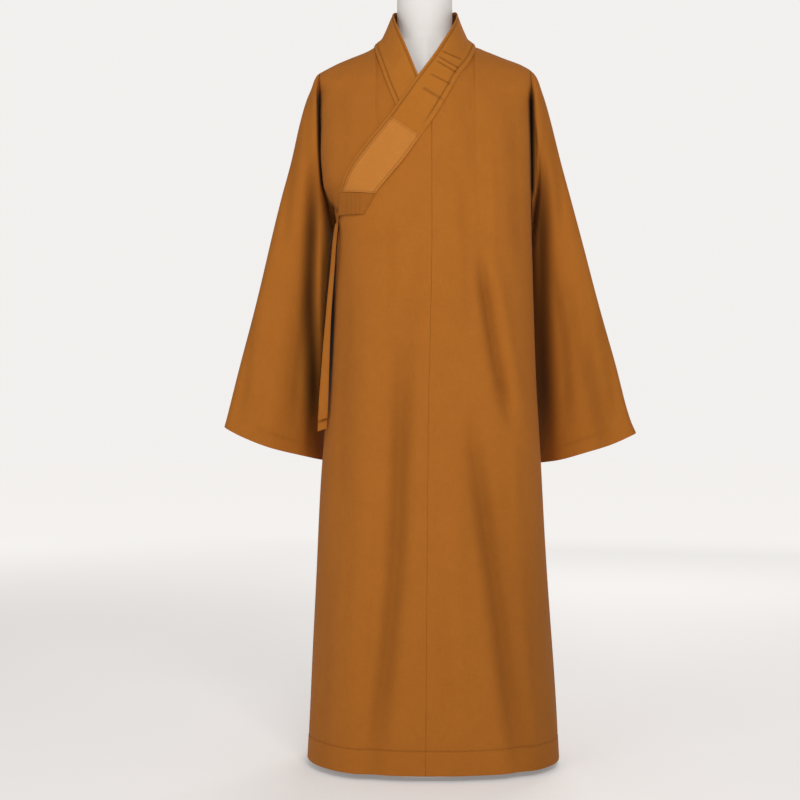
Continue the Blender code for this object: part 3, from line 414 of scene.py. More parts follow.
TUCK_SHADE = 0.34
TUCK_DEPTH = 0.8
TUCK_WIDTH = 1.5
TUCK_RISE = 0.6
TUCK_FOLD = 3.2
QUILT_DEPTH = 0.35
QUILT_SHADE = 0.16
END_STITCH_LINE = 3.0
PATCH_SHADE = 0.25
OUTER_STRIP_END = 0.7
BAND_WIDTH = 78.0
BAND_PLACES = (0.0, BAND_STRIP_LINE / BAND_WIDTH, 1.0 - BAND_EDGE_LINE / BAND_WIDTH, 1.0)
QUILT_ROWS = (-146.0, -138.0, -130.0, -122.0)
PATCH_THICK = 0.9
PATCH_STITCH_LINE = 3.2
TIE_THICK = 1.2
TIE_STITCH_LINE = 1.9
TIE_END_SEEN = (656.0, 672.0)

# Creases of the sleeves: x at three heights going down, width, and height above the cloth.
SLEEVE_LEFT_CREASES = (
    (1240, -232, 1120, -250, 960, -262, 9, -3.0),
    (1080, -262, 900, -300, 700, -330, 12, 3.2),
    (960, -226, 800, -238, 600, -252, 10, -3.0),
    (900, -318, 780, -332, 620, -352, 10, -2.6),
    (1290, -212, 1230, -222, 1140, -226, 7, -2.2),
    (1080, -199, 880, -196, 580, -204, 8, 4.0),
)
SLEEVE_RIGHT_CREASES = (
    (1250, 236, 1120, 248, 980, 256, 9, -3.0),
    (1100, 262, 920, 286, 720, 318, 12, 3.0),
    (980, 240, 800, 262, 600, 282, 10, -3.2),
    (900, 322, 780, 340, 620, 366, 10, -2.8),
    (1290, 214, 1230, 224, 1140, 228, 7, -2.2),
)

# Turned pieces of the form and its stand.
POLE_PROFILE = {
    "radius": (0.0, POLE_RADIUS, POLE_RADIUS, 0.0),
    "height": (FORM_FOOT - SEAM, FORM_FOOT - SEAM,
               BASE_PROFILE["height"][0] + SEAM, BASE_PROFILE["height"][0] + SEAM),
}
NECK_CURVE = {
    "radius": (0.0, 49.0, 52.0, 53.0, 53.0, 53.4, 55.0, 58.5, 58.5, 0.0),
    "height": (1489.0, 1489.0, 1486.0, 1480.0, 1424.0, 1400.0, 1382.0, 1370.6, 1370.1, 1370.1),
}
LATHE_SIDES = 128
# Colour of the painted shade, as a share of each cloth's own colour.
PAINTED_SHADE_TINT = 0.05

# Floor, world and lights, in metres and watts.
FLOOR_RADIUS = 14.0
WORLD_LIGHT = 0.40
WORLD_SEEN = 0.92
WORLD_COLOUR = (0.97, 0.95, 0.93, 1.0)
FLOOR_COLOUR = (0.76, 0.745, 0.73)
FLOOR_REACH = (1.8, 5.0)
FLOOR_GLOW = (0.3, 0.78)
LIGHTS = (
    ("key", (0.45, -2.8, 2.2), (0.0, 0.0, 1.2), 1.1, 42.0),
    ("fill", (-2.2, -2.9, 1.5), (0.0, 0.0, 0.9), 1.8, 20.0),
    ("rear", (0.8, 2.8, 2.4), (0.0, 0.0, 1.0), 2.0, 40.0),
)


def smooth(x, xs, ys):
    """Monotone cubic curve through the points (xs, ys), read at x and level past its ends."""
    xs = np.asarray(xs, float)
    ys = np.asarray(ys, float)
    if xs[0] > xs[-1]:
        xs, ys = xs[::-1], ys[::-1]
    step = np.diff(xs)
    rise = np.diff(ys) / step
    tangent = np.empty_like(ys)
    tangent[0], tangent[-1] = rise[0], rise[-1]
    before, after = rise[:-1], rise[1:]
    weight_a = 2.0 * step[1:] + step[:-1]
    weight_b = step[1:] + 2.0 * step[:-1]
    turning = before * after <= 0.0
    safe_before = np.where(turning, 1.0, before)
    safe_after = np.where(turning, 1.0, after)
    mean = (weight_a + weight_b) / (weight_a / safe_before + weight_b / safe_after)
    tangent[1:-1] = np.where(turning, 0.0, mean)
    x = np.clip(np.asarray(x, float), xs[0], xs[-1])
    k = np.clip(np.searchsorted(xs, x, side="right") - 1, 0, len(xs) - 2)
    t = (x - xs[k]) / step[k]
    start = (1.0 + 2.0 * t) * (1.0 - t) ** 2 * ys[k] + t * (1.0 - t) ** 2 * step[k] * tangent[k]
    end = t * t * (3.0 - 2.0 * t) * ys[k + 1] + t * t * (t - 1.0) * step[k] * tangent[k + 1]
    return start + end


def ease(x, low, high):
    """0 below low, 1 above high, and smooth between them."""
    t = np.clip((np.asarray(x, float) - low) / (high - low), 0.0, 1.0)
    return t * t * (3.0 - 2.0 * t)


def skin_value(name, z):
    """One column of the base skin's table at the heights z."""
    return smooth(z, SKIN["height"], SKIN[name])


def ridge_height(x, z=SHOULDER_HEIGHT):
    """Height of the shoulder line, which climbs steeply inside the neck for the collar.

    Where the climb starts is a bend, and the further below the shoulder the skin is read,
    the wider that bend is, so that it leaves no crease down the chest.
    """
    shoulder = smooth(x, RIDGE["x"], RIDGE["height"])
    inside = SIDE_X - np.hypot(x, NECK_ROUND)
    soft = RIDGE_SOFT + RIDGE_SPREAD * np.maximum(SHOULDER_HEIGHT - z, 0.0)
    bend = (np.clip(inside, -soft, soft) + soft) ** 2 / (4.0 * soft)
    return shoulder + COLLAR_RISE * (bend + np.maximum(inside - soft, 0.0))


def centre_front(z):
    """Place of the centre-front seam at the heights z."""
    return smooth(z, CENTRE_FRONT["height"], CENTRE_FRONT["x"])


def fold_relief(x, z, folds):
    """Sum of soft folds: each a bell across a curve through its three points."""
    total = np.zeros(np.broadcast(x, z).shape)
    for row in folds:
        fold = dict(zip(FOLD_COLUMNS, row))
        heights = (fold["low"], fold["middle"], fold["top"])
        path = smooth(z, heights, (fold["low_x"], fold["middle_x"], fold["top_x"]))
        length = 0.3 * (fold["top"] - fold["low"])
        strength = ease(z, fold["low"], fold["low"] + length)
        strength = strength * (1.0 - ease(z, fold["top"] - length, fold["top"]))
        if fold["half_width"] < CREASE_LIMIT:
            path = path + CREASE_WANDER * np.sin(z / CREASE_WANDER_LENGTH + fold["top_x"])
        total += fold["rise"] * strength * np.exp(-((x - path) / fold["half_width"]) ** 2)
    return total


def armhole_share(x, z, side):
    """Share of the depth at which the armhole edge stays open."""
    name = "front" if side < 0 else "back"
    lowered = np.where(np.asarray(x) > 0.0, ARMPIT_LEFT - ARMPIT_RIGHT, 0.0)
    return smooth(z + lowered, ARMHOLE["height"], ARMHOLE[name])


def skin_y(x, z, side):
    """Depth of the base skin: a superellipse across, closed over the shoulders by an arc."""
    x = np.asarray(x, float)
    z = np.asarray(z, float)
    left = skin_value("left", z)
    right = skin_value("right", z)
    across = np.clip(np.abs(2.0 * x - left - right) / (right - left - 2.0 * SEAM), 0.0, 1.0)
    bulge = (1.0 - across ** ROUNDNESS) ** (1.0 / ROUNDNESS)
    share = armhole_share(x, z, side)
    climb = np.clip((z - CAP_FOOT) / (ridge_height(x, z) - CAP_FOOT), 0.0, 1.0)
    cap = np.sqrt(1.0 - climb ** 2)
    depth = skin_value("front" if side < 0 else "back", z)
    folds = fold_relief(x, z, FRONT_FOLDS + FRONT_CREASES if side < 0 else BACK_FOLDS + BACK_CREASES)
    folds = folds * np.clip(SIDE_FADE * (1.0 - across), 0.0, 1.0) * cap
    return MID_Y + side * (SEAM / 2 + depth * (share + (1.0 - share) * bulge) * cap + folds)


def out_from_axis(grid):
    """Direction from the robe's middle to each point of a grid, up above the shoulders."""
    outward = grid - np.array([MIDDLE_X, MID_Y, 0.0])
    outward[..., 2] = np.where(grid[..., 2] > SHOULDERS_FROM, SHOULDERS_UP, 0.0)
    return outward


def count(number):
    return max(3, round(number * FINE))


def crowded(number, places, reach, share):
    """Even steps from 0 to 1 that crowd round the places, where seams and lines are.

    The steps are read back from a running total of 1 plus a bell at each place.
    """
    fine = np.linspace(0.0, 1.0, 4000)
    density = np.ones_like(fine)
    for place in places:
        density += share / reach * np.exp(-((fine - place) / reach) ** 2)
    total = np.append(0.0, np.cumsum((density[1:] + density[:-1]) / 2))
    return np.interp(np.linspace(0.0, total[-1], number + 1), total, fine)


def grid_normals(grid, outward, closed=False):
    """Unit normals of a grid, from the slopes along it, turned to agree with outward."""
    down = np.gradient(grid, axis=0)
    if closed:
        across = (np.roll(grid, -1, axis=1) - np.roll(grid, 1, axis=1)) / 2.0
    else:
        across = np.gradient(grid, axis=1)
    normal = np.cross(down, across)
    normal /= np.maximum(np.linalg.norm(normal, axis=2, keepdims=True), 1e-9)
    agree = np.sign(np.sum(normal * outward, axis=2, keepdims=True))
    agree[agree == 0.0] = 1.0
    return normal * agree


def along(grid, axis):
    """Distance walked over the grid along one axis, from its first row or column."""
    step = np.linalg.norm(np.diff(grid, axis=axis), axis=2)
    start = np.zeros_like(step[:1] if axis == 0 else step[:, :1])
    return np.concatenate([start, np.cumsum(step, axis=axis)], axis=axis)


def groove(distance, depth=GROOVE, width=GROOVE_WIDTH):
    """Narrow bell-shaped furrow at distance 0, as a thread pulls into cloth."""
    return -depth * np.exp(-(distance / width) ** 2)


def roll(distance, depth, width):
    """Edge that turns in: a quarter of a circle over the last width of the cloth."""
    t = np.clip(1.0 - distance / width, 0.0, 1.0)
    return -depth * (1.0 - np.sqrt(1.0 - 0.98 * t * t))


def grid_corners(rows, columns):
    """Row and column of each quad's four corners, quad by quad."""
    r, c = np.meshgrid(np.arange(rows - 1), np.arange(columns - 1), indexing="ij")
    r, c = r.ravel(), c.ravel()
    return np.stack([r, r, r + 1, r + 1], axis=1), np.stack([c, c + 1, c + 1, c], axis=1)


def shell(name, grid, normal, material, thick=THICK, closed=False, deep=None):
    """Closed thin shell: the grid, the same grid moved in by thick, and rims between them.

    Its UV map, in metres, is the distance walked across and down the cloth, so a weave
    keeps its size. Its point attribute "deep" is painted shade: how far, from 0 to 1, the
    colour at each point is darkened, deep in a fold, along a sewn line or in a gap.
    """
    rows, columns = grid.shape[:2]
    inner = grid - normal * thick
    points = np.concatenate([grid.reshape(-1, 3), inner.reshape(-1, 3)])
    half = rows * columns

    round_grid = np.concatenate([grid, grid[:, :1]], axis=1) if closed else grid
    u = along(round_grid, 1)
    u = u - u[:, u.shape[1] // 2, None]
    v = along(round_grid, 0)

    r, c = grid_corners(rows, columns + 1 if closed else columns)
    quads = [r * columns + c % columns]
    places = [(r, c)]
    quads.append(quads[0][:, ::-1] + half)
    places.append((r[:, ::-1], c[:, ::-1]))
    last_row, last_column = rows - 1, columns - 1
    run = np.arange(columns if closed else columns - 1)
    for row, flip in ((0, True), (last_row, False)):
        a = row * columns + run % columns
        b = row * columns + (run + 1) % columns
        rim = np.stack([a, b, b + half, a + half], axis=1)
        place = (np.full(rim.shape, row), np.stack([run, run + 1, run + 1, run], axis=1))
        quads.append(rim[:, ::-1] if flip else rim)
        places.append((place[0], place[1][:, ::-1] if flip else place[1]))
    if not closed:
        run = np.arange(rows - 1)
        for column, flip in ((0, False), (last_column, True)):
            a = run * columns + column
            b = (run + 1) * columns + column
            rim = np.stack([a, b, b + half, a + half], axis=1)
            place = (np.stack([run, run + 1, run + 1, run], axis=1), np.full(rim.shape, column))
            quads.append(rim[:, ::-1] if flip else rim)
            places.append((place[0][:, ::-1] if flip else place[0], place[1]))
    faces = np.concatenate(quads)
    place_r = np.concatenate([p[0] for p in places]).ravel()
    place_c = np.concatenate([p[1] for p in places]).ravel()
    uv = np.stack([u[place_r, place_c], v[place_r, place_c]], axis=1) * MM
    mask = np.zeros(half) if deep is None else np.clip(deep, 0.0, 1.0).ravel()
    return put_in(name + "_cloth", points, faces, uv, material, np.concatenate([mask, mask]))


def put_in(name, points, faces, uv, material, deep=None):
    """Object from arrays of points (mm), quads and corner UVs, its faces turned outwards."""
    mesh = bpy.data.meshes.new(name)
    mesh.vertices.add(len(points))
    mesh.vertices.foreach_set("co", (np.asarray(points) * MM).ravel())
    mesh.loops.add(faces.size)
    mesh.loops.foreach_set("vertex_index", faces.ravel())
    mesh.polygons.add(len(faces))
    mesh.polygons.foreach_set("loop_start", np.arange(0, faces.size, faces.shape[1]))
    layer = mesh.uv_layers.new(name="cloth")
    layer.data.foreach_set("uv", np.asarray(uv, float).ravel())
    # Point attribute of painted shade: how far each point's colour is darkened, 0 where none is painted.
    mask = mesh.attributes.new("deep", "FLOAT", "POINT")
    mask.data.foreach_set("value", np.zeros(len(points)) if deep is None else deep)
    mesh.update(calc_edges=True)
    mesh.validate()
    mesh.materials.append(material)
    work = bmesh.new()
    work.from_mesh(mesh)
    bmesh.ops.recalc_face_normals(work, faces=work.faces)
    work.to_mesh(mesh)
    work.free()
    mesh.shade_smooth()
    mesh.set_sharp_from_angle(angle=math.radians(CREASE_ANGLE))
    obj = bpy.data.objects.new(name, mesh)
    bpy.context.scene.collection.objects.link(obj)
    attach(obj, "root")
    return obj


def panel_grid(side, inner_edge, outer_edge, top_line, first_share=0.0):
    """Stretch of the skin between two upright edges, cut at its top by top_line.

    Rows rise evenly to CAP_FOOT and then by the sine of an even angle, so they crowd
    where the skin closes over the shoulder.
    """
    shares = crowded(count(PANEL_COLUMNS), (0.0, 1.0), 0.014, 0.05)
    shares = first_share + (1.0 - first_share) * shares
    top = np.full_like(shares, CUT_START)
    for _ in range(CUT_STEPS):
        x_top = inner_edge(top) + (outer_edge(top) - inner_edge(top)) * shares
        top = np.minimum(top_line(x_top), ridge_height(x_top))
    reach = ridge_height(x_top)
    upper_rows = count(PANEL_ROWS) // 3
    low = crowded(count(PANEL_ROWS) - upper_rows, (0.0, HEM_DEPTH / (CAP_FOOT - HEM_HEIGHT)), 0.004, 0.06)
    low = HEM_HEIGHT + (CAP_FOOT - HEM_HEIGHT) * low[:-1]
    end_angle = np.arcsin(np.minimum(1.0, (top - CAP_FOOT) / (reach - CAP_FOOT)))
    steps = crowded(upper_rows, (1.0,), 0.02, 0.08)
    high = CAP_FOOT + (reach - CAP_FOOT) * np.sin(end_angle * steps[:, None])
    z = np.concatenate([np.repeat(low[:, None], len(shares), axis=1), high])
    x = inner_edge(z) + (outer_edge(z) - inner_edge(z)) * shares
    return np.stack([x, skin_y(x, z, side), z], axis=2)


def body_panel(name, grid, lift, free_edge=False):
    """One panel of the body: lifted over what is under it, hemmed and rolled in at its seams."""
    outward = out_from_axis(grid)
    grid = grid + grid_normals(grid, outward) * lift[..., None]
    normal = grid_normals(grid, outward)
    across, up = along(grid, 1), along(grid, 0)
    far = across[:, -1:] - across
    top = up[-1:] - up
    phase = across + 21.0 * np.sin(grid[..., 2] / 190.0)
    shoulder = 1.0 - ease(grid[..., 2], *SHOULDER_FADE)
    relief = roll(across, SEAM_ROLL, SEAM_ROLL_WIDTH) + roll(up, EDGE_ROLL, 2.0)
    relief = relief + roll(top, EDGE_ROLL, 2.0) * shoulder
    if free_edge:
        relief = relief + roll(far, EDGE_ROLL, 2.0) + groove(far - FREE_EDGE_LINE, GROOVE * 0.6)
    else:
        relief = relief + roll(far, SEAM_ROLL, SEAM_ROLL_WIDTH) * shoulder
    relief = relief + HEM_RISE * (1.0 - ease(up, HEM_DEPTH - 4.0, HEM_DEPTH)) + groove(up - HEM_DEPTH)
    pucker = np.sin(phase * 2.0 * math.pi / PUCKER_LENGTH + 1.7 * np.sin(phase / 41.0))
    relief = relief + PUCKER * pucker * np.exp(-((up - HEM_DEPTH) / 10.0) ** 2)
    relief = relief + SLACK * np.sin(phase / 17.0) * np.sin(grid[..., 2] / 83.0 + phase / 60.0)
    grid = grid + normal * relief[..., None]
    normal = grid_normals(grid, outward)
    deep = body_shade(name, grid, far, up)
    obj = shell(name, grid, normal, CLOTH, deep=deep)
    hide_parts(name)
    hem = [row_line(grid, normal, up, HEM_DEPTH)]
    edge = [column_line(grid, normal, far, FREE_EDGE_LINE)] if free_edge else []
    return obj, grid, hem, edge


def body_shade(name, grid, far, up):
    """Painted shade at each point of a body panel: folds, sewn lines, armhole and underlap."""
    x, z = grid[..., 0], grid[..., 2]
    folds = FRONT_FOLDS + FRONT_CREASES if name.startswith("front") else BACK_FOLDS + BACK_CREASES
    deep = FOLD_SHADE * np.maximum(-fold_relief(x, z, folds), 0.0) / FOLD_DEPTH
    deep = deep + HEM_SHADE * bell(up - HEM_DEPTH, GROOVE_WIDTH)
    # Painted shade, near black: over the underlap beside the overlap's free edge, in the gap beside the tie
    # and in the hollow below the armpit.
    if name == "front_inner":
        gap = tie_gap(x, z)
        under = (1.0 - ease(far, *UNDER_REACH)) * (1.0 - ease(z, *UNDER_HEIGHT))
        hollow = ease(-x, *HOLLOW_SIDE) * ease(z, *HOLLOW_FOOT) * (1.0 - ease(z, *HOLLOW_TOP))
        return deep + np.maximum(np.maximum(UNDER_SHADE * under, gap), hollow)
    if name == "front_overlap":
        return deep + LINE_SHADE * bell(far - FREE_EDGE_LINE, GROOVE_WIDTH)
    if name == "front_left":
        deep = deep + lower_shade(x, z)
    if name == "back_right":
        deep = deep + tie_gap(x, z)
    return deep + armhole_shade(x, z)


def tie_gap(x, z):
    """Mask of painted shade in the narrow gap between the tie and the free edge of the overlap."""
    heights, places = OVERLAP_GAP["height"], OVERLAP_GAP["x"]
    beside = np.abs(x - np.interp(z, heights, places))
    return (1.0 - ease(beside, *GAP_REACH)) * ease(z, *GAP_FOOT) * (1.0 - ease(z, *GAP_TOP))


def lower_shade(x, z):
    """Soft painted shade over the lower front beside its last long fold, on the wearer's left."""
    line = np.interp(z, LOWER_SHADE["height"], LOWER_SHADE["x"])
    across = ease(x, line - LOWER_SHADE["before"], line + LOWER_SHADE["after"])
    return LOWER_SHADE["share"] * across * (1.0 - ease(z, *LOWER_SHADE_TOP))


def armhole_shade(x, z):
    """Mask of painted shade in the deep fold at the armhole: within a few mm of the side as seen from the
    front.
    """
    beside = np.minimum(np.abs(x - skin_value("left", z)), np.abs(x - skin_value("right", z)))
    high = ease(z, *ARMHOLE_FADE) * (1.0 - ease(z, *SHOULDER_FADE))
    return high * (1.0 - ease(beside, *ARMHOLE_REACH))


def bell(distance, width):
    """1 at distance 0, falling to nothing within about twice the width."""
    return np.exp(-(distance / width) ** 2)


def row_line(grid, normal, distance, place):
    """Line across a grid where the distance up each column reaches place."""
    rows, columns = grid.shape[:2]
    r = np.array([np.interp(place, distance[:, c], np.arange(rows)) for c in range(columns)])
    low = np.clip(r.astype(int), 0, rows - 2)
    t = (r - low)[:, None]
    c = np.arange(columns)
    return grid[low, c] * (1 - t) + grid[low + 1, c] * t, normal[low, c] * (1 - t) + normal[low + 1, c] * t


def column_line(grid, normal, distance, place):
    """Line up a grid where the distance across each row reaches place."""
    swapped = (grid.swapaxes(0, 1), normal.swapaxes(0, 1), distance.T)
    if swapped[2][0, 0] > swapped[2][-1, 0]:
        swapped = tuple(part[::-1] for part in swapped)
    return row_line(*swapped, place)


def stitches(name, lines, pitch=STITCH_PITCH, length=STITCH_LENGTH, radius=STITCH_RADIUS):
    """Row of thread stitches along each line: slim four-sided grains, lower at their ends.

    Each grain's ring at share t of its half length has the radius times the square root
    of 1 - t*t, and its middle stands on the cloth.
    """
    shares = np.array([-0.96, -0.5, 0.5, 0.96])
    swell = np.sqrt(1.0 - shares ** 2)
    angle = math.pi / 4 + np.arange(4) * math.pi / 2
    all_points = []
    for points, normals in lines:
        run = np.append(0.0, np.cumsum(np.linalg.norm(np.diff(points, axis=0), axis=1)))
        places = np.arange(pitch * 0.6, run[-1] - pitch * 0.5, pitch)
        if not len(places):
            continue
        middle = np.stack([np.interp(places, run, points[:, k]) for k in range(3)], axis=1)
        ahead = np.stack([np.interp(places + 0.5, run, points[:, k]) for k in range(3)], axis=1)
        behind = np.stack([np.interp(places - 0.5, run, points[:, k]) for k in range(3)], axis=1)
        up = np.stack([np.interp(places, run, normals[:, k]) for k in range(3)], axis=1)
        tangent = ahead - behind
        tangent /= np.linalg.norm(tangent, axis=1, keepdims=True)
        side = np.cross(tangent, up)
        side /= np.linalg.norm(side, axis=1, keepdims=True)
        up = np.cross(side, tangent)
        run = (shares * length / 2)[None, :, None, None]
        ring = middle[:, None, None, :] + tangent[:, None, None, :] * run
        ring = ring + up[:, None, None, :] * (0.5 * radius * swell)[None, :, None, None]
        circle = side[:, None, None, :] * np.cos(angle)[None, None, :, None]
        circle = circle + up[:, None, None, :] * np.sin(angle)[None, None, :, None]
        all_points.append((ring + radius * swell[None, :, None, None] * circle).reshape(-1, 16, 3))
    points = np.concatenate(all_points)
    local = [[r * 4 + k, r * 4 + (k + 1) % 4, r * 4 + 4 + (k + 1) % 4, r * 4 + 4 + k]
             for r in range(3) for k in range(4)]
    local += [[3, 2, 1, 0], [12, 13, 14, 15]]
    faces = (np.array(local)[None] + 16 * np.arange(len(points))[:, None, None]).reshape(-1, 4)
    uv = np.tile(np.array([[0.0, 0.0], [0.001, 0.0], [0.001, 0.001], [0.0, 0.001]]), (len(faces), 1))
    obj = put_in(name, points.reshape(-1, 3), faces, uv, THREAD)
    return obj


def sleeve_points(table, sign, folds, creases):
    """Sleeve as loops from the armhole to the cuff.

    A front and a back face are blended between four lines seen from the front: the
    armhole edge, the outer line, the inner line and the cuff. Each loop's middle line
    is a quarter of a superellipse that turns back beside the body, and the two faces
    stand off it by a lens, which grows quickly out of the narrow armhole.
    """
    gap = sign * SEAM / 2
    shares = crowded(count(SLEEVE_ROWS), (0.0, 0.04, 1.0), 0.012, 0.05)
    u = crowded(count(SLEEVE_COLUMNS), (0.0, 1.0), 0.03, 0.06)
    angle = u * math.pi / 2
    blend_x = np.sin(angle) ** (2.0 / SLEEVE_SECTION)
    blend_y = 1.0 - np.cos(angle) ** (2.0 / SLEEVE_SECTION)

    outer_x = np.array(table["outer_x"])
    outer_z = np.array(table["outer_z"])
    run = np.append(0.0, np.cumsum(np.hypot(np.diff(outer_x), np.diff(outer_z))))
    run /= run[-1]
    line_x = smooth(shares, run, outer_x)
    line_z = smooth(shares, run, outer_z)
    line_y = MID_Y + (SLEEVE_OUTER_Y_END - MID_Y) * shares
    inner = [smooth(shares, table["inner_share"], table[name]) for name in ("inner_x", "inner_y", "inner_z")]

    hole_z = outer_z[0] + (table["inner_z"][0] - outer_z[0]) * u
    edge = skin_value("left" if sign < 0 else "right", hole_z) + gap
    hole_x = edge + (outer_x[0] - edge[0]) * (1.0 - u) ** HOLE_END
    hole_x = hole_x + (table["inner_x"][0] - edge[-1]) * u ** HOLE_END
    cuff_x = outer_x[-1] + (table["inner_x"][-1] - outer_x[-1]) * blend_x
    cuff_z = smooth(cuff_x, table["cuff_x"], table["cuff_z"])

    t = shares[:, None]
    x = (1 - t) * hole_x + (1 - blend_x) * line_x[:, None] + blend_x * inner[0][:, None]
    x = x - (1 - t) * ((1 - blend_x) * hole_x[0] + blend_x * hole_x[-1])
    z = (1 - t) * hole_z + t * cuff_z + (1 - blend_x) * line_z[:, None] + blend_x * inner[2][:, None]
    z = z - (1 - t) * ((1 - blend_x) * hole_z[0] + blend_x * hole_z[-1])
    z = z - t * ((1 - blend_x) * cuff_z[0] + blend_x * cuff_z[-1])
    y = (1 - blend_y) * line_y[:, None] + blend_y * inner[1][:, None]
    clear = ease(t, 0.0, 0.02) * (1.0 - ease(t, 0.12, 0.3))
    clear = clear * ease(u, 0.25, 0.6) * (1.0 - ease(u, 0.80, 1.0))
    x = x + sign * ARMHOLE_CLEAR * clear

    lens = (1.0 - np.abs(2.0 * u - 1.0) ** SLEEVE_LENS) ** (1.0 / SLEEVE_LENS)
    grown = 1.0 - np.exp(-t / SLEEVE_GROWTH)
    tuck = 1.0 - SLEEVE_TUCK * ease(u, 0.55, 0.85) * ease(t, 0.02, 0.12)
    wavy = folds + creases
    faces = []
    for side, name in ((FRONT, "front"), (BACK, "back")):
        fullness = smooth(t, SLEEVE_FULLNESS["share"], SLEEVE_FULLNESS[name]) * lens
        fullness = fullness * (tuck if side < 0 else 1.0)
        hole = np.abs(skin_y(edge, hole_z, side) - MID_Y) - SEAM / 2
        depth = (1 - grown) * hole + grown * fullness
        if side < 0:
            depth = depth + fold_relief(x, z, wavy) * lens * ease(t, 0.0, 0.1)
        else:
            behind = fold_relief(x + sign * BACK_FOLD_SHIFT, z, wavy)
            depth = depth + BACK_FOLD_SHARE * behind * lens * ease(t, 0.0, 0.1)
        faces.append(np.stack([x, y + side * depth, z], axis=2))
    return np.concatenate([faces[0], faces[1][:, -2:0:-1]], axis=1), len(u) - 1


def sleeve(name, table, sign, folds, creases):
    """Wide sleeve with a rolled cuff, a soft line where the cuff is turned in and an underarm seam."""
    grid, seam_column = sleeve_points(table, sign, folds, creases)
    middle = grid.mean(axis=1, keepdims=True)
    normal = grid_normals(grid, grid - middle, closed=True)
    down = along(grid, 0)
    up = down[-1:] - down
    around = along(np.concatenate([grid, grid[:, :1]], axis=1), 1)[:, :-1]
    seam = around - around[:, seam_column, None]
    shoulder = 1.0 - ease(grid[..., 2], *SHOULDER_FADE)
    relief = roll(up, EDGE_ROLL, 2.0) + roll(down, EDGE_ROLL, 2.0) * shoulder + groove(seam, GROOVE, 2.2)
    slack = np.sin(around / 19.0 + down / 90.0) * np.sin(down / 71.0) * ease(down, 20.0, 90.0)
    relief = relief + groove(up - CUFF_DEPTH, CUFF_GROOVE, 2.4) + SLACK * slack
    grid = grid + normal * relief[..., None]
    normal = grid_normals(grid, grid - middle, closed=True)
    # Painted shade: the colour is darkened in the fold valleys, at the armhole, along the cuff's turned-in
    # line and in the gap beside the tie.
    valleys = np.maximum(-fold_relief(grid[..., 0], grid[..., 2], folds + creases), 0.0)
    deep = SLEEVE_SHADE * valleys / FOLD_DEPTH + armhole_shade(grid[..., 0], grid[..., 2])
    deep = deep + LINE_SHADE * CUFF_GROOVE * bell(up - CUFF_DEPTH, GROOVE_WIDTH)
    deep = deep + tie_gap(grid[..., 0], grid[..., 2])
    obj = shell(name, grid, normal, CLOTH, closed=True, deep=deep)
    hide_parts(name)
    return obj


def sewn_down(v):
    """How much closer the band lies to the robe along its seam edge."""
    return (LAYER - WALL - SEWN_GAP) * (1.0 - ease(v, 0.0, SEWN_SHARE))


def neck_hollow(v, follow):
    """How far the band curves in towards the neck, between its edges, where it stands free."""
    return NECK_HOLLOW * (1.0 - follow) * ease(v, *HOLLOW_RISE) * (1.0 - v) ** HOLLOW_FALL


def band_grid(table, places, v, distance):
    """Collar band from its seam edge to its free edge, moved out by distance.

    Its two edges are smooth curves through the table's points, its rows run straight
    from one to the other or follow the chest, and all of it stands off along its normals.
    """
    number = len(table["side"])
    knots = np.linspace(0.0, 1.0, number)
    side = np.array(table["side"])
    edges = []
    for edge in ("seam", "free"):
        x, z = np.array(table[edge + "_x"]), np.array(table[edge + "_z"])
        y = np.where(side < 0, skin_y(x, z, FRONT), skin_y(x, z, BACK))
        edges.append(np.stack([smooth(places, knots, values) for values in (x, y, z)], axis=1))
    share = v[None, :, None]
    grid = (1 - share) * edges[0][:, None, :] + share * edges[1][:, None, :]
    follow = smooth(places, knots, table["follow"])
    chest = skin_y(grid[..., 0], grid[..., 2], FRONT)
    grid[..., 1] = grid[..., 1] + follow[:, None] * (chest - grid[..., 1])
    lift = distance(grid) - sewn_down(v) - neck_hollow(v, follow[:, None])
    return grid + grid_normals(grid, out_from_axis(grid)) * lift[..., None]


def over_wrap(grid):
    """Distance that the front's skin moves out where it lies over the inner front."""
    x, z = grid[..., 0], grid[..., 2]
    place = ARMPIT_LIFT_PLACE
    near_armpit = ease(z, place["low"], place["high"]) * (1.0 - ease(x, place["from"], place["to"]))
    return LAYER * (1.0 - ease(x, WRAP_END["from"], WRAP_END["to"])) + ARMPIT_LIFT * near_armpit


def over_front(grid):
    """Distance of the outer collar: over the wrapped front, or over the shoulder panels."""
    return LAYER + over_wrap(grid) + BACK_COLLAR_LIFT * ease(grid[..., 1], 0.0, BEHIND_NECK)


def over_shoulder(grid):
    """Distance of the inner collar, one layer out and a little more at the back."""
    return LAYER + BACK_COLLAR_LIFT * ease(grid[..., 1], 0.0, BEHIND_NECK)


def in_photo(grid):
    """Where the photo shows each point of a grid, in its pixels, far off behind the neck."""
    spread = PHOTO_SCALE * (CAMERA_DISTANCE + grid[..., 1]) / CAMERA_DISTANCE
    px = PHOTO_SIZE / 2 + (grid[..., 0] - CAMERA_X) / spread
    py = PHOTO_SIZE / 2 - (grid[..., 2] - CAMERA_HEIGHT) / spread
    return px + np.where(grid[..., 1] > 0.0, PHOTO_SIZE, 0.0), py


